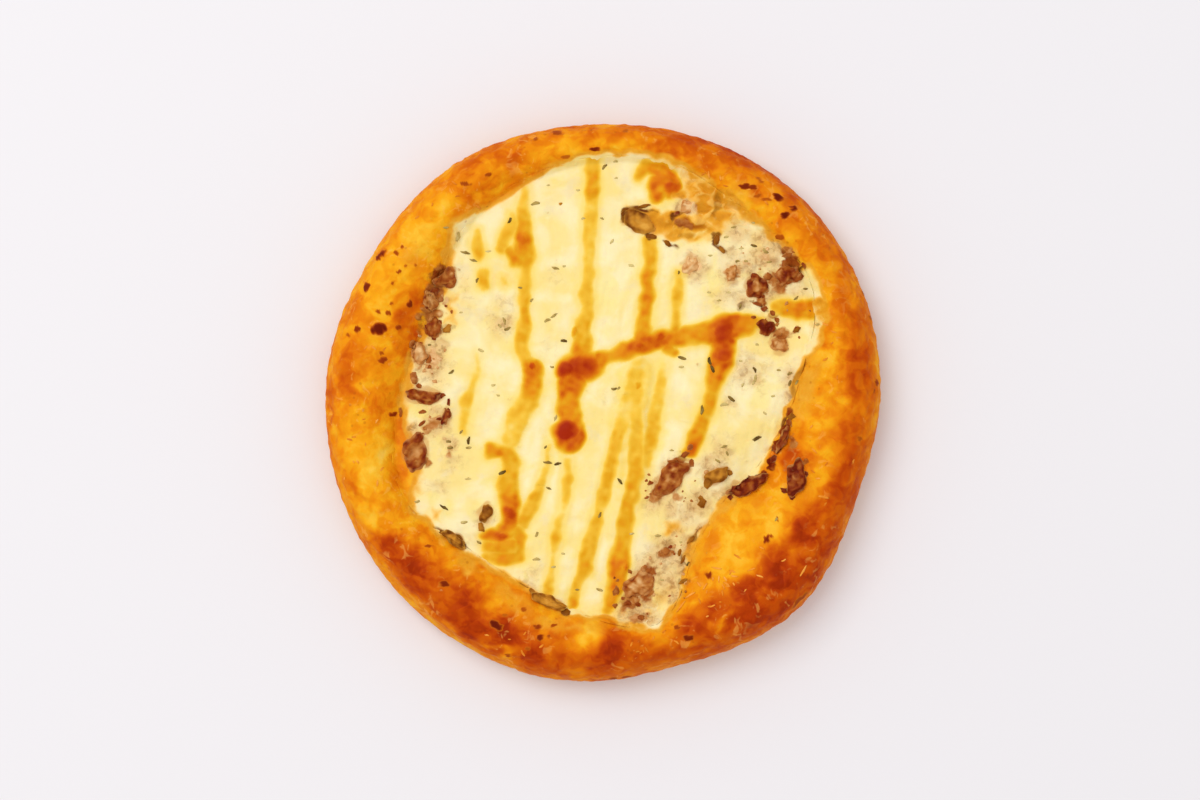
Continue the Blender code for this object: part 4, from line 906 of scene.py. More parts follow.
def higher(first, second, blend):
    """The higher of two heights, rounded off where they cross: half of their sum and of the root of their
    difference squared plus this blend."""
    return 0.5 * (first + second + np.sqrt((first - second) ** 2 + blend))


def piped(x, y):
    """How dark the piped lines baked at each point, and how far they stand above the cheese: the strongest
    of all lines and blobs there, each fading out over its own edge."""
    near_x = x + 0.3 * waves(x, y, 9, 21) + 0.06 * waves(x, y, 3.5, 22)
    near_y = y + 0.3 * waves(x, y, 9, 23) + 0.06 * waves(x, y, 3.5, 24)
    flicker = 1 + 0.07 * waves(x, y, 6, 29) + 0.04 * waves(x, y, 2.8, 30)
    tone, rise = np.zeros_like(x), np.zeros_like(x)
    for knots in STRIPES:
        outside, (wide, line_tone) = beside(near_x, near_y, knots)
        tone = np.maximum(tone, line_tone * flicker * soft(2.3, -1.5, outside))
        tone = np.maximum(tone, min(0.18, 0.7 * knots[0][3]) * soft(4.2, 0.4, outside))
        rise = np.maximum(rise, 0.13 * wide * soft(0.6, -1.8, outside))
    for *place, blob_tone in BLOBS:
        inside = oval(near_x, near_y, *place)
        tone = np.maximum(tone, blob_tone * (1 + 0.5 * (flicker - 1)) * soft(1.5, 0.4, inside))
        rise = np.maximum(rise, 0.9 * soft(1.4, 0.2, inside))
    return tone, rise


def baked_cheese(radius, angle, x, y):
    """Height of the cheese as seen, with its folds, lines and unevenness, and the marks that colour it."""
    edge = lines_of(angle)[1]
    inland = edge - radius
    tone, rise = piped(x, y)
    film, gilt = film_of(radius, angle, x, y)
    moved_x, moved_y = nudged(x, y, 0.5)
    beneath = strongest(moved_x, moved_y, UNDER_CHEESE)
    # Olive-brown lines where things scorched, which along the cheese's border are painted shade as well.
    scorch = np.zeros_like(x)
    for knots in SCORCH_AND_SHADE_LINES:
        outside, (_, strength) = beside(moved_x, moved_y, knots)
        scorch = np.maximum(scorch, strength * soft(0.8, -0.4, outside))
    fold, dip = np.zeros_like(x), np.zeros_like(x)
    fold_x, fold_y = moved_x + 0.6 * waves(x, y, 4, 44), moved_y + 0.6 * waves(x, y, 4, 45)
    swollen = 1 + 0.4 * waves(x, y, 5, 48)
    for *place, tall in FOLDS:
        away = oval(fold_x, fold_y, *place)
        ridge = tall * np.exp(-(((away - 1) * place[2] / FOLD_WIDTH) ** 2))
        fold = np.maximum(fold, ridge * swollen)
        dip = np.maximum(dip, tall * soft(0.9, 0.5, away))
    stain = np.zeros_like(x)
    for _, left, up, length, width, turn, *_ in MEAT_PIECES + MUSHROOM_PIECES:
        away = oval(moved_x, moved_y, left, up, length / 2, width / 2, turn)
        stain = np.maximum(stain, soft(1.0 + 4.4 / (length + width), 0.9, away))
    uneven = 0.1 * waves(x, y, 8, 25) + 0.05 * waves(x, y, 3.2, 26) + fold - 0.3 * dip - 0.25 * scorch
    uneven = uneven + beneath * (0.3 * waves(x, y, 5, 27) + 0.2 * waves(x, y, 2.6, 28))
    shore = bank(edge, angle) - 1.0
    level = pool(x, y)
    level = level - np.maximum(level - shore, 0) * soft(14, 0.5, inland)
    climb = BORDER_CLIMB * soft(0.0, BORDER_WIDTH, inland + 0.3 * waves(x, y, 7, 46))
    height = higher(level, bank(radius, angle) - BORDER_SINK + climb, 0.4)
    mass, flesh, knob = minced(x, y)
    height = height + (rise + uneven + knob - 0.1) * soft(0.0, 2.5, inland)
    marks = {"tone": tone, "beneath": beneath, "gilt": gilt, "scorch": scorch, "stain": stain,
             "film": film, "baked": browned(radius, angle, x, y, x, y), "mass": mass,
             "flesh": flesh, "fold": fold - 0.8 * dip}
    return height, marks


# The top's rings out to the edge, then three hidden ones that lead in under the cheese.
columns = np.arange(CHEESE_COLUMNS) * 360 / CHEESE_COLUMNS
edge = lines_of(columns)[1]
shares = np.concatenate((np.linspace(*MIDDLE_RINGS), np.linspace(*BORDER_RINGS)))[:, None]
top_radius = shares * edge
top_x, top_y = top_radius * np.cos(np.radians(columns)), top_radius * np.sin(np.radians(columns))
top_height, marks = baked_cheese(top_radius, columns + 0 * top_radius, top_x, top_y)
foot_radius = np.stack((edge - EDGE_TURN[0], edge - FOOT, 0.5 * edge))
foot_height = np.stack((bank(edge, columns) - EDGE_TURN[1], FLOOR + GAP + 0 * edge, FLOOR + GAP + 0 * edge))
below = np.stack((foot_radius * np.cos(np.radians(columns)), foot_radius * np.sin(np.radians(columns)),
                  foot_height), axis=-1)
cheese_points = np.concatenate((np.stack((top_x, top_y, top_height), axis=-1), below))
hidden = np.zeros_like(foot_radius)
marks = {key: np.concatenate((value, hidden)) for key, value in marks.items()}
middle = float(top_height[0].mean())
cheese = skin("melted_cheese", cheese_points, (0, 0, middle), (0, 0, FLOOR + GAP), marks)
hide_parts("cheese")

OIL = linear(212, 150, 70)
HAZE_STOPS = ((0.32, linear(180, 128, 72)), (0.46, linear(222, 182, 118)), (0.6, linear(232, 196, 134)),
              (0.72, linear(206, 160, 102)))
SUNK_FLECK = linear(150, 100, 46)
FOLD_TOP, FOLD_DIP = linear(250, 198, 96), linear(206, 138, 26)
TOAST_STOPS = ((0.0, linear(252, 226, 128)), (0.2, linear(249, 213, 94)), (0.32, linear(242, 192, 58)),
               (0.44, linear(230, 166, 24)), (0.56, linear(226, 140, 10)), (0.68, linear(214, 110, 4)),
               (0.8, linear(196, 78, 1)), (0.92, linear(180, 58, 1)), (1.0, linear(166, 38, 1)))
CHAR_AND_SHADE_STOPS = ((0.4, linear(112, 52, 5)), (0.6, linear(142, 88, 18)))

cheese_finish, place, shader = started("melted_cheese")
beneath, gilt, tone = place.attribute("beneath"), place.attribute("gilt"), place.attribute("tone")
milk = place.attribute("film").step(0.05, 0.95).mix(dough(place), melted(place))
oiled = place.attribute("stain") * (0.4 + place.noise(2.2, 2, 0.5) * 0.9)
milk = (oiled.step(0.05, 0.9) * 0.55).mix(milk, OIL)
under = beneath * (0.5 + place.noise(4, 3, 0.6, 0.6)) * (1 - gilt.step(0.3, 0.9) * 0.8)
haze = place.noise(3.2, 3, 0.6, 0.6).ramp(HAZE_STOPS)
milk = (under.step(0.04, 0.55) * 0.85).mix(milk, haze)
fleck = beneath * place.noise(1.9, 2, 0.5, 0.5).step(0.53, 0.66)
milk = (fleck * 0.75).mix(milk, SUNK_FLECK)
folded = place.attribute("fold") * (1 - gilt.step(0.9, 1.4) * 0.8)
milk = (folded.step(0.15, 0.8) * 0.6).mix(milk, FOLD_TOP)
milk = ((0 - folded).step(0.1, 0.6) * 0.55).mix(milk, FOLD_DIP)
milk = fleshed(place, milk)
toast = tone + (place.noise(3.0, 3, 0.6, 0.4) - 0.5) * 0.12 * tone
low = gilt.step(0.3, 0.8) * 0.4
milk = tone.step(low + 0.02, low + 0.3).mix(milk, toast.ramp(TOAST_STOPS))
# The dark olive-brown of the scorched lines, which along the cheese's border is painted shade as well.
burnt_and_shaded = place.attribute("scorch") * (0.7 + place.noise(1.8, 2, 0.5) * 0.6)
milk = burnt_and_shaded.step(0.15, 0.8).mix(milk, place.noise(3, 2, 0.5).ramp(CHAR_AND_SHADE_STOPS))
height = place.noise(1.4, 3, 0.55) * 0.5 + place.noise(5, 2, 0.5)
coated(shader, place, milk, 0.4 + place.noise(2.4, 3, 0.6) * 0.2, height, 0.2,
       {"Specular IOR Level": 0.07, "Subsurface Weight": 0.08, "Subsurface Radius": (0.003, 0.002, 0.001)})
cheese.data.materials.append(cheese_finish)

# ---------------------------------------------------------------- meat
# Crumbs and slices of browned minced meat, pressed into the cheese before baking and half sunk in it,
# darkest round their edges, with small crumbs of the same meat scattered about them.

HIGHEST = 27.15  # nothing laid on the pizza stands higher
CHEESE_LIP = 0.9  # how far the solid cheese stands over the bank
LIP_WIDTH = 2.4
EDGE_MARGIN = 0.6  # the outermost strip of cheese, where small bits lie on the bread
# Rings and points of a large piece and of a small bit, and the tallest small bit.
PIECE_GRID = (46, 72)
BIT_GRID = (5, 8)
TALLEST_BIT = 1.6
# Single crumbs: (x, y, half length, half width, turn, tone).
CRUMBS = (
    (-59.5, 25.2, 2.1, 1.6, 20, 0.14), (-61.6, 27, 1.0, 0.9, 0, 0.2), (-57.2, 28.2, 1.0, 1.1, 0, 0.24),
    (-59.2, 23, 1.0, 0.9, 0, 0.16), (-61.4, 33.4, 1.0, 1.0, 0, 0.16), (-58.8, 39.4, 1.5, 1.4, 0, 0.08),
    (-56.5, 36.5, 0.9, 1.1, 0, 0.4), (-52.1, 42.4, 0.8, 1.2, -20, 0.0), (-53.5, 41.6, 0.8, 0.7, 0, 0.1),
    (-66.6, 20.8, 1.1, 1.4, 0, 0.34), (-66, 9, 1.3, 2.1, 15, 0.4), (-60.8, 15.2, 0.9, 1.4, -10, 0.4),
    (-60.6, 12.8, 0.8, 0.7, 0, 0.35), (-63.5, 21, 0.7, 0.7, 0, 0.4), (-64.5, 6.2, 1.1, 1.0, 0, 0.4),
    (-63.4, -7.1, 1.5, 0.6, 35, 0.2), (-63, -3, 1.3, 0.7, 0, 0.35), (-56.5, 2.8, 1.3, 1.0, 0, 0.04),
    (-53.9, 0.4, 0.7, 1.3, -10, 0.1), (-53.8, -3, 0.8, 1.3, 10, 0.06), (-57, -5.4, 1.2, 0.6, 10, 0.1),
    (65.5, 52.3, 1.9, 1.2, 15, 0.4), (70.6, 48.2, 1.4, 0.6, -50, 0.32), (58.2, 44.6, 1.4, 1.4, 0, 0.4),
    (69.6, 44.4, 1.0, 1.5, 10, 0.4), (57, 41.2, 1.0, 1.2, 0, 0.04), (56.4, 37.8, 1.1, 0.8, 0, 0.2),
    (54.4, 35, 1.8, 0.7, -15, 0.2), (57, 33.3, 1.1, 1.1, 0, 0.3), (53.4, 30.3, 1.0, 0.6, 0, 0.3),
    (59.8, 31.8, 1.1, 1.1, 0, 0.24), (61.4, 29.4, 1.1, 1.0, 0, 0.3), (68.4, 26.2, 1.3, 0.9, 25, 0.3),
    (24.6, -20.5, 2.1, 0.8, 5, 0.3), (29.2, -18, 1.8, 1.0, 50, 0.25), (31, -15.4, 1.0, 1.0, 0, 0.35),
    (28.6, -22.8, 1.1, 1.2, 0, 0.2), (31.4, -21, 1.0, 1.4, 0, 0.4), (21.4, -28.6, 1.3, 1.4, 0, 0.1),
    (17, -28, 1.1, 0.8, 20, 0.3), (22.6, -52, 1.3, 1.4, 20, 0.4), (24, -50.4, 0.8, 0.7, 0, 0.3),
    (14.6, -58, 1.3, 1.0, 30, 0.4), (17.4, -62, 1.0, 1.5, 0, 0.25), (9, -70.2, 1.5, 1.0, 0, 0.3),
    (13.6, -75.2, 1.5, 1.1, 20, 0.4), (5, -66, 1.1, 1.6, 0, 0.35), (12.4, -70.6, 1.3, 1.0, 0, 0.3),
    (4.6, -71, 0.9, 1.0, 0, 0.4), (60.2, -19.6, 1.0, 1.5, -10, 0.14), (60.6, -15.6, 1.0, 1.6, -10, 0.1),
    (65.6, -7, 1.2, 1.4, 0, 0.25), (63.6, -30.4, 1.4, 1.0, 0, 0.1), (71, -24.8, 1.1, 1.0, 0, 0.06),
    (66.6, -32.8, 0.9, 1.0, 0, 0.08), (46.4, -30.6, 1.8, 1.4, 20, 0.0), (45.2, -33, 1.0, 1.0, 0, 0.1),
    (26.2, 66.8, 1.2, 0.7, 20, 0.2),
)
# Where more small crumbs lie: (x, y, half length, half width, turn, count, tone).
CRUMB_FIELDS = (
    (-60, 16, 5, 8, 0, 12, 0.7), (-60, -7, 5, 4, 20, 6, 0.6), (-57, 32, 4, 9, 0, 8, 0.5),
    (56, 50, 9, 6, 20, 10, 0.7), (58, 36, 9, 5, 0, 10, 0.6), (62, 24, 7, 5, 0, 6, 0.6),
    (22, -30, 8, 6, 40, 10, 0.45), (40, -28, 8, 6, 30, 6, 0.6), (23, -53, 6, 5, 40, 8, 0.6),
    (13, -67, 9, 8, 20, 14, 0.5), (26, -64, 4, 6, 0, 4, 0.6),
)


def ball(rows, columns):
    """Directions of a unit ball's rings, from just below the top to just above the bottom."""
    down = np.linspace(0, math.pi, rows + 2)[1:-1, None]
    turn = np.arange(columns) * math.tau / columns
    out = np.sin(down)
    return np.stack((out * np.cos(turn), out * np.sin(turn), np.cos(down) + 0 * turn), axis=-1)


def cheese_top(radius, angle):
    """Height of the solid cheese: level in the middle, then a thin layer up the bank, which ends in a lip
    rounded as a quarter circle."""
    edge = lines_of(angle)[1]
    turn = np.radians(angle)
    base = bank(radius, angle) + GAP
    full = higher(pool(radius * np.cos(turn), radius * np.sin(turn)), base + CHEESE_LIP, 1.0)
    lip = np.clip((edge - radius) / LIP_WIDTH, 0, 1)
    return base + (full - base) * np.sqrt(1 - (1 - lip) ** 2)


def surface(x, y):
    """Height of the solid pizza, bare of its toppings, at a point."""
    radius, angle = np.hypot(x, y), np.degrees(np.arctan2(y, x))
    return np.where(radius < lines_of(angle)[1], cheese_top(radius, angle), bread(radius, angle))


def laid_lump(name, x, y, length, width, turn, height, bend, hollow, rim_tone, middle_tone,
              rough, fine, paler=0.0):
    """A ball swollen by low sines, stretched, bent along a parabola and dished in the middle, laid on the
    surface, with knobs and grit of noise raised along its normal."""
    grid = ball(*PIECE_GRID)
    u, v, w = grid[..., 0], grid[..., 1], grid[..., 2]
    seed = x * 1.7 + y * 0.9  # from its place, so that no two pieces are alike
    lump = 1 + 0.10 * np.sin(3.0 * u + 2.0 * v + seed) + 0.08 * np.sin(5.0 * v - 3.5 * u + 2.1 * seed)
    along = u * lump * length / 2
    across = v * lump * width / 2 + bend * (u**2 - 0.5) * length / 2
    dish = hollow * np.exp(-(u**2 + v**2) / 0.3) * (w > 0)
    tall = w * height * (1 + 0.18 * np.sin(4.0 * u + 3.0 * v + seed)) - dish
    c, s = math.cos(math.radians(turn)), math.sin(math.radians(turn))
    px, py = x + c * along - s * across, y + s * along + c * across
    points = np.stack((px, py, surface(px, py) + tall), axis=-1)
    odd = int(abs(seed) * 10)
    top = soft(0.0, 0.6, w)
    grit = waves(px, py, 1.9, odd + 1)
    knobs = 0.8 * waves(px, py + tall, 3.8, odd) + 0.4 * waves(px, py + tall, 2.4, odd + 3)
    points = grown(points, rough * (0.7 * knobs - 1.0) + fine * top * (grit - 0.6))
    points[..., 2] = np.minimum(points[..., 2], HIGHEST)
    ends = [(*points[row].mean(axis=0)[:2], points[row, :, 2].mean()) for row in (0, -1)]
    clear = points[..., 2] - surface(points[..., 0], points[..., 1])
    tone = rim_tone + (middle_tone - rim_tone) * soft(0.85, 0.3, np.hypot(u, v))
    tone = tone + paler * soft(-0.2, 0.8, u) + 0.1 * waves(px, py, 3.6, odd + 2) + 0.05 * top * grit
    piece = skin(name + "_piece", points, ends[0], ends[1], {"clear": clear, "tone": tone})
    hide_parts(name)
    return piece


def seen(x, y):
    """Height of the pizza as it is seen at a point: the higher of the cheese, with its folds and lines, and
    the wrinkled bread nearly up to the cheese's edge, and the bread alone past it."""
    radius, angle = np.hypot(x, y), np.degrees(np.arctan2(y, x)) % 360
    cheese_height = baked_cheese(radius, angle, x, y)[0]
    smooth = bread(radius, angle)
    wrinkles = np.minimum(wrinkled(*unrolled(radius, angle, smooth)), HIGHEST_RELIEF)
    bread_height = smooth + wrinkles - SKIN_SINK
    on_cheese = radius < lines_of(angle)[1] - EDGE_MARGIN
    return np.where(on_cheese, np.maximum(cheese_height, bread_height), bread_height)


def strewn(name, places, tall, seed):
    """Many small balls swollen by sines, in one object, laid at (x, y, half length, half width, turn, tone)
    on the pizza as it is seen, each this share of its mean radius tall."""
    x, y, long, wide, turn, tone = np.array(places, float).T[:, :, None, None]
    chance = np.random.default_rng(seed)
    grid = ball(*BIT_GRID)
    u, v, w = grid[..., 0], grid[..., 1], grid[..., 2]
    phase = chance.uniform(0, math.tau, (len(places), 3, 1, 1))
    lump = 1 + 0.2 * np.sin(3 * u + 2 * v + phase[:, 0]) + 0.18 * np.sin(5 * v - 4 * u + 2 * w + phase[:, 1])
    c, s = np.cos(np.radians(turn)), np.sin(np.radians(turn))
    px, py = x + lump * (c * u * long - s * v * wide), y + lump * (s * u * long + c * v * wide)
    rise = np.minimum(tall * np.sqrt(long * wide), TALLEST_BIT)
    ground = seen(px, py)
    points = np.stack((px, py, np.minimum(ground + rise * (lump * w + 0.1), HIGHEST)), axis=-1)
    starts, ends = points[:, 0].mean(axis=1), points[:, -1].mean(axis=1)
    starts[:, 2] += 0.06 * rise[:, 0, 0]
    marks = {"clear": 1.4 * (points[..., 2] - ground) / rise,
             "tone": tone + 0.08 * np.sin(2 * u + phase[:, 2])}
    return skins(name, points, starts, ends, marks)


def sprinkled(fields, seed):
    """Seeded places (x, y, half length, half width, turn, tone) scattered over oval fields."""
    chance = np.random.default_rng(seed)
    rows = []
    for x, y, long, wide, turn, count, tone in fields:
        c, s = math.cos(math.radians(turn)), math.sin(math.radians(turn))
        u, v = chance.normal(0, 0.6, (2, count)) * np.array(((long,), (wide,)))
        size = chance.uniform(0.3, 0.9, count)
        narrow = size * chance.uniform(0.6, 0.95, count)
        turns, tones = chance.uniform(0, 180, count), tone + chance.normal(0, 0.14, count)
        rows.append(np.stack((x + c * u - s * v, y + s * u + c * v, size, narrow, turns, tones), axis=1))
    return np.concatenate(rows)


CHEESY, VEIL = linear(206, 144, 80), linear(224, 174, 112)

meat_finish, place, shader = started("minced_meat")
flesh = (place.attribute("tone") + (place.noise(3.2, 4, 0.65, 0.6) - 0.5) * 0.7).ramp(FLESH_STOPS)
covered = 1 - (place.attribute("clear") + (place.noise(2.5, 3, 0.6) - 0.5) * 1.4).step(-0.1, 1.2)
flesh = (covered * 0.75).mix(flesh, CHEESY)
veil = place.noise(6, 3, 0.6, 0.6).step(0.54, 0.68) * place.attribute("tone").step(0.15, 0.6)
flesh = (veil * 0.45).mix(flesh, VEIL)
coated(shader, place, flesh, 0.4 + place.noise(2, 2, 0.5) * 0.25, place.noise(1.6, 3, 0.6), 0.25,
       {"Specular IOR Level": 0.09})

for name, *rest in MEAT_PIECES:
    piece = laid_lump(name, *rest, 0.34, 0.12)
    piece.data.materials.append(meat_finish)
crumbs = strewn("meat_crumbs", np.concatenate((np.array(CRUMBS), sprinkled(CRUMB_FIELDS, 5))), 0.45, 6)
crumbs.data.materials.append(meat_finish)

# ---------------------------------------------------------------- mushroom
# Thin slices and shreds of mushroom, roasted olive-brown: one leaf-shaped slice near +Y with a dark curled
# rim and an amber middle, and narrow shreds where the cheese meets the bread.

AMBER_END = 0.5  # how much paler one end of the leaf-shaped slice is
# Single shreds: (x, y, half length, half width, turn, tone).
MUSHROOM_SHREDS = (
    (37.4, -28, 1.9, 1.6, 40, 0.3), (35.2, -35, 1.4, 1.9, 20, 0.25), (37.6, -25, 1.3, 1.0, 0, 0.4),
    (44.8, -24.4, 1.5, 1.1, 0, 0.3), (34.6, -33.2, 0.9, 0.9, 0, 0.3), (27.3, -52.4, 1.3, 0.6, 70, 0.35),
    (31.2, -48, 2.2, 0.7, 50, 0.3), (28.4, -55, 1.6, 0.6, 60, 0.3), (28.2, -62.6, 1.6, 0.7, 30, 0.35),
    (-54.5, 26.2, 1.8, 1.3, 40, 0.5), (-52.5, -48, 2.0, 1.2, -35, 0.05), (-12.8, -73.2, 1.5, 1.2, -30, 0.1),
    (-24.5, -66, 1.8, 0.9, -40, 0.35), (-42.4, -43.6, 1.3, 1.7, 0, 0.5), (8.2, 66.8, 1.6, 1.1, 0, 0.1),
    (17.4, 58.6, 1.9, 0.9, -15, 0.15), (15, 69.4, 2.2, 0.7, 10, 0.2), (23, 56.3, 1.8, 1.0, -35, 0.2),
    (40.3, 57.5, 1.0, 1.7, 0, 0.25), (42, 54.2, 1.7, 0.8, -45, 0.3), (66.6, -4.6, 1.2, 1.2, 0, 0.3),
    (68.6, 26, 1.4, 1.0, 25, 0.2), (-14.6, 70.2, 0.6, 0.5, 0, 0.5),
)

CAP_STOPS = ((0.0, linear(104, 50, 2)), (0.25, linear(148, 86, 14)), (0.5, linear(184, 120, 34)),
             (0.75, linear(206, 138, 40)), (1.0, linear(224, 162, 62)))
AMBER = linear(222, 164, 64)

sliced, place, shader = started("roast_mushroom")
cap = (place.attribute("tone") + (place.noise(3.0, 3, 0.6, 0.5) - 0.5) * 0.4).ramp(CAP_STOPS)
covered = 1 - (place.attribute("clear") + (place.noise(2.5, 2, 0.5) - 0.5) * 1.2).step(-0.1, 0.8)
cap = (covered * 0.75).mix(cap, AMBER)
coated(shader, place, cap, 0.4 + place.noise(2, 2, 0.5) * 0.25, place.noise(1.2, 3, 0.6), 0.3,
       {"Specular IOR Level": 0.09})

for name, *rest in MUSHROOM_PIECES:
    piece = laid_lump(name, *rest, 0.14, 0.05, AMBER_END if name == "mushroom_01" else 0.0)
    piece.data.materials.append(sliced)
shreds = strewn("mushroom_shreds", MUSHROOM_SHREDS, 0.6, 9)
shreds.data.materials.append(sliced)

# ---------------------------------------------------------------- herbs
# Dried herb: dark leaf flecks 1 to 4 mm long, strewn on the cheese before baking. Those that stayed on top
# are dark, and those that sank into it show pale.

# A fleck's half width is the least one and this share of its half length.
LEAST_WIDTH = 0.22
WIDTH_SHARE = 0.22
# Single flecks: (x, y, half length, turn, strength), where a weak one lies deep.
HERBS = (
    (-46.9, -13, 1.6, 85, 1.0), (-54, -13.4, 1.0, 0, 0.8), (-53.5, -15.6, 1.2, 10, 0.7),
    (-46.8, -15.6, 1.0, 0, 0.5), (-35, -24.3, 1.4, 20, 0.9), (-55.5, -36.6, 1.5, -35, 1.0),
    (-19, -20.8, 1.4, -10, 0.8), (-15.5, -21.2, 1.5, 20, 0.9), (-19.8, -15.3, 0.8, 60, 0.8),
    (-18.8, -29.8, 0.9, -30, 0.7), (-22.9, -46, 1.1, 70, 0.5), (-23, -54.8, 1.3, 0, 0.4),
    (-48.5, -41.8, 1.2, 0, 0.4), (-43.3, -48.8, 1.1, -20, 0.6), (-13.6, -52.8, 0.8, 0, 0.35),
    (-17, -57.5, 0.8, 0, 0.3), (-1, -65.5, 1.4, -10, 0.5), (-0.8, -39.3, 1.0, 60, 0.7),
    (-47, -26.5, 1.0, 0, 0.25), (-65, -34.5, 1.2, 20, 0.4), (-8.8, -65.5, 0.8, 0, 0.6),
    (6.3, -27.3, 1.5, -50, 0.9), (24.5, -16.5, 0.8, 0, 0.4), (42.8, -15.2, 1.2, 20, 0.55),
    (44, -17.5, 1.0, -60, 0.5), (40.8, -20.3, 1.0, -40, 0.6), (54.5, -12.3, 1.9, 35, 0.9),
    (19.5, -46.5, 1.2, 0, 0.4), (27.8, -48.8, 0.6, 0, 0.4), (30.2, -56.5, 1.0, 60, 0.9),
    (21, -62, 0.9, 0, 0.4), (61, -40.3, 0.9, 60, 0.6), (-16.5, 47.6, 1.2, -20, 0.55),
    (-13.3, 48.2, 0.6, 0, 0.3), (-17, 30.8, 1.2, 30, 0.6), (-19.2, 29.2, 1.3, 25, 0.45),
    (-13.5, 22, 1.3, -5, 0.9), (-17.6, 12.8, 0.8, 0, 0.6), (-33.3, 26.2, 1.2, 20, 0.7),
    (-34.3, 29, 1.4, -70, 0.5), (-36, 27.3, 0.9, -40, 0.5), (-42.5, 18.6, 1.1, -30, 0.3),
    (-36.5, 2.8, 0.7, 0, 0.3), (-53, 11, 1.3, 40, 0.7), (-43.9, 43.3, 1.0, 70, 0.8),
    (-48, 53, 1.6, -15, 0.7), (-45.2, 50.3, 1.2, -20, 0.6), (-50.5, 58.5, 1.8, 80, 0.4),
    (-40, 53.5, 0.9, 0, 0.3), (-28.8, 40.7, 0.9, 0, 0.6), (-24.7, 36.3, 0.9, 60, 0.5),
    (-49.5, 32, 0.7, 20, 0.3), (-49.5, -10, 1.0, 60, 0.6), (-60.6, 20.6, 0.6, 0, 0.7),
    (53.5, 55.4, 1.3, -10, 0.95), (57.5, 53.5, 1.3, -40, 0.5), (47.6, 50, 0.9, 20, 0.6),
    (50.5, 50, 0.8, 0, 0.5), (49, 54.5, 0.8, 0, 0.35), (43.7, 58.5, 0.8, 0, 0.4), (46.3, 62, 1.1, 20, 0.4),
    (53, 63.4, 0.7, 0, 0.35), (58.8, 49.7, 0.9, 0, 0.6), (71.5, 40.2, 0.9, 0, 0.7),
    (68.2, 37, 1.0, 40, 0.7), (41.2, 36.2, 0.7, 0, 0.5), (37.5, 39, 0.8, 0, 0.3), (44.5, 39, 0.9, 0, 0.25),
    (27, 46, 0.7, 90, 0.8), (28.3, 15.9, 1.5, -20, 0.8), (37.8, 14.9, 1.5, -75, 1.0),
    (38.8, 12.2, 1.4, -72, 1.0), (53.7, 11.8, 1.2, -60, 0.95), (62, 11.7, 0.8, 0, 0.6),
    (66, 10.5, 1.1, 30, 0.6), (54, 9, 1.2, 80, 0.35), (53.2, 7.2, 1.0, 80, 0.4), (48.8, 14.9, 0.7, 0, 0.3),
    (66, 7, 1.2, 70, 0.7), (68.5, 7.5, 1.1, 70, 0.6), (54.5, 20.7, 0.7, 0, 0.3), (75.5, 27.7, 0.7, 0, 0.4),
    (0.9, 83.2, 1.3, 50, 0.8), (4.8, 85, 0.8, 0, 0.4), (-23.3, 70.3, 1.6, 10, 0.6),
    (-32.4, 64.3, 1.3, 70, 1.0), (0, 65, 0.8, -20, 0.6), (5, 79.2, 0.6, 0, 0.3), (-19, 76.7, 0.6, 0, 0.3),
    (-54.5, 61.5, 0.9, 0, 0.5), (10.3, 48.5, 1.2, 0, 0.2), (3.5, 57, 1.2, 60, 0.25),
    (-8.5, 75, 0.8, 0, 0.25), (4.2, 5.1, 1.1, 5, 0.8), (5.9, 5.4, 0.8, 40, 0.5), (45.6, 1.5, 1.5, -42, 0.8),
    (43, -0.4, 1.6, 10, 0.3), (35.1, -2.4, 1.7, 85, 0.8), (48.6, 34.1, 1.0, 70, 0.7),
    (28, 12.8, 1.0, 0, 0.25), (-16.4, -5.2, 1.2, 70, 0.3), (49.5, 6.5, 0.8, 60, 0.3),
    (60.2, 2.6, 0.8, 20, 0.35), (57.2, -3.4, 0.9, -30, 0.3), (38, 52, 0.8, 0, 0.3),
    (10.4, -45.8, 0.8, 0, 0.3), (-38.2, 6.4, 0.8, 0, 0.2), (-6.6, 65, 0.8, 20, 0.25),
)

LEAF_STOPS = ((0.2, linear(216, 194, 126)), (0.5, linear(184, 156, 84)), (0.8, linear(134, 106, 44)),
              (1.0, linear(92, 66, 18)))

leaf, place, shader = started("dried_herb")
dry = (place.attribute("tone") + (place.noise(1.2, 2, 0.5) - 0.5) * 0.45).ramp(LEAF_STOPS)
coated(shader, place, dry, 0.6 + place.noise(2, 2, 0.5) * 0.2, place.noise(0.8, 2, 0.6), 0.2,
       {"Specular IOR Level": 0.2})
leaves = [(x, y, long, LEAST_WIDTH + WIDTH_SHARE * long, turn, strength)
          for x, y, long, turn, strength in HERBS]
herbs = strewn("herb_flecks", leaves, 0.4, 11)
herbs.data.materials.append(leaf)
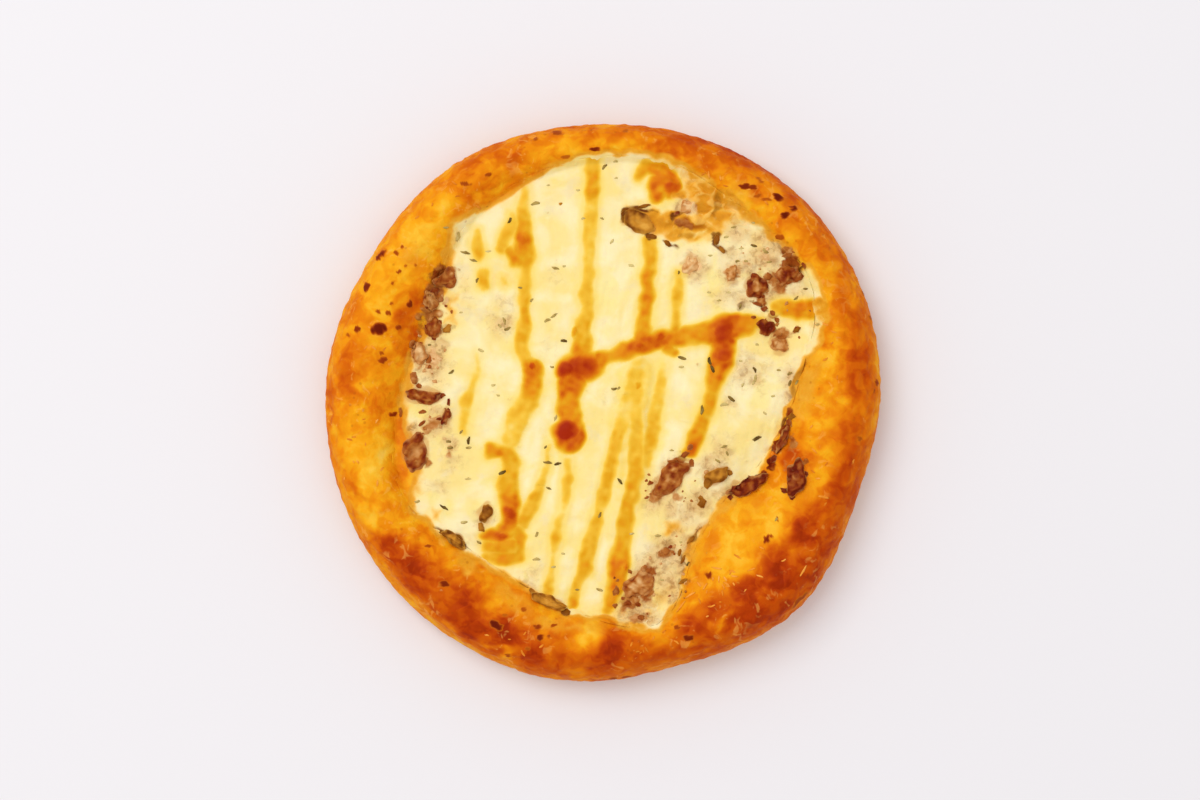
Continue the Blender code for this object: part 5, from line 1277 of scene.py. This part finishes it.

# ---------------------------------------------------------------- baked shreds and painted glints
# Pale threads, 1 to 6 mm long, on the rim: threads of cheese and flour that stuck to it while the dough was
# soft and baked on to it, and in part painted glints on the crust.

# A scattered thread's length, as a multiple of a crumb's, and its half width, as the least one and a share.
DRAWN_OUT = 1.5
THINNEST = 0.22
THREAD_SHARE = 0.2
# Single threads: (x, y, half length, half width, turn, tone).
THREADS = (
    (40, -57.6, 2.0, 0.35, -5, 0.5), (55.8, -50.5, 1.2, 0.3, -20, 0.4), (70.2, -58.6, 2.2, 0.35, 58, 0.6),
    (41.4, -76, 3.0, 0.4, 42, 0.4), (36, -64, 1.6, 0.3, 60, 0.5), (34, -63.4, 1.2, 0.3, -50, 0.5),
    (42.4, -64, 1.2, 0.3, -60, 0.4), (52, -58, 1.5, 0.3, 20, 0.5), (77, -32.6, 2.2, 0.5, -10, 0.4),
    (31, -67, 2.0, 0.3, 30, 0.5), (27.6, -71, 2.2, 0.35, 50, 0.5),
)
# Where more of them lie: (x, y, half length, half width, turn, count, tone).
THREAD_FIELDS = (
    (-82, -20, 6, 16, 0, 10, 0.4), (-80, 22, 6, 12, 0, 5, 0.35), (46, -62, 15, 6, 35, 22, 0.45),
    (-30, -82, 13, 4, -20, 7, 0.3), (20, -84, 14, 4, 15, 9, 0.3), (78, -20, 5, 16, 10, 8, 0.35),
    (81, 20, 5, 14, -10, 6, 0.35), (-48, 73, 12, 4, 30, 8, 0.3), (42, 79, 14, 4, -28, 8, 0.3),
)

# Pale orange to cream: the threads' own colour, and in part painted glints.
THREAD_AND_GLINT_STOPS = ((0.1, linear(216, 118, 22)), (0.4, linear(238, 148, 44)), (0.7, linear(250, 174, 76)),
                (1.0, linear(255, 198, 116)))

thread_and_glint_finish, place, shader = started("shred_and_painted_glint")
thread_and_glint_colour = (place.attribute("tone") + (place.noise(2, 2, 0.5) - 0.5) * 0.4).ramp(THREAD_AND_GLINT_STOPS)
coated(shader, place, thread_and_glint_colour, 0.55 + place.noise(2, 2, 0.5) * 0.2, place.noise(1, 2, 0.5), 0.1,
       {"Specular IOR Level": 0.1})
loose = sprinkled(THREAD_FIELDS, 8)
loose[:, 2] *= DRAWN_OUT
loose[:, 3] = THINNEST + THREAD_SHARE * loose[:, 3]
threads = strewn("shreds_and_painted_glints", np.concatenate((np.array(THREADS), loose)), 0.22, 12)
threads.data.materials.append(thread_and_glint_finish)
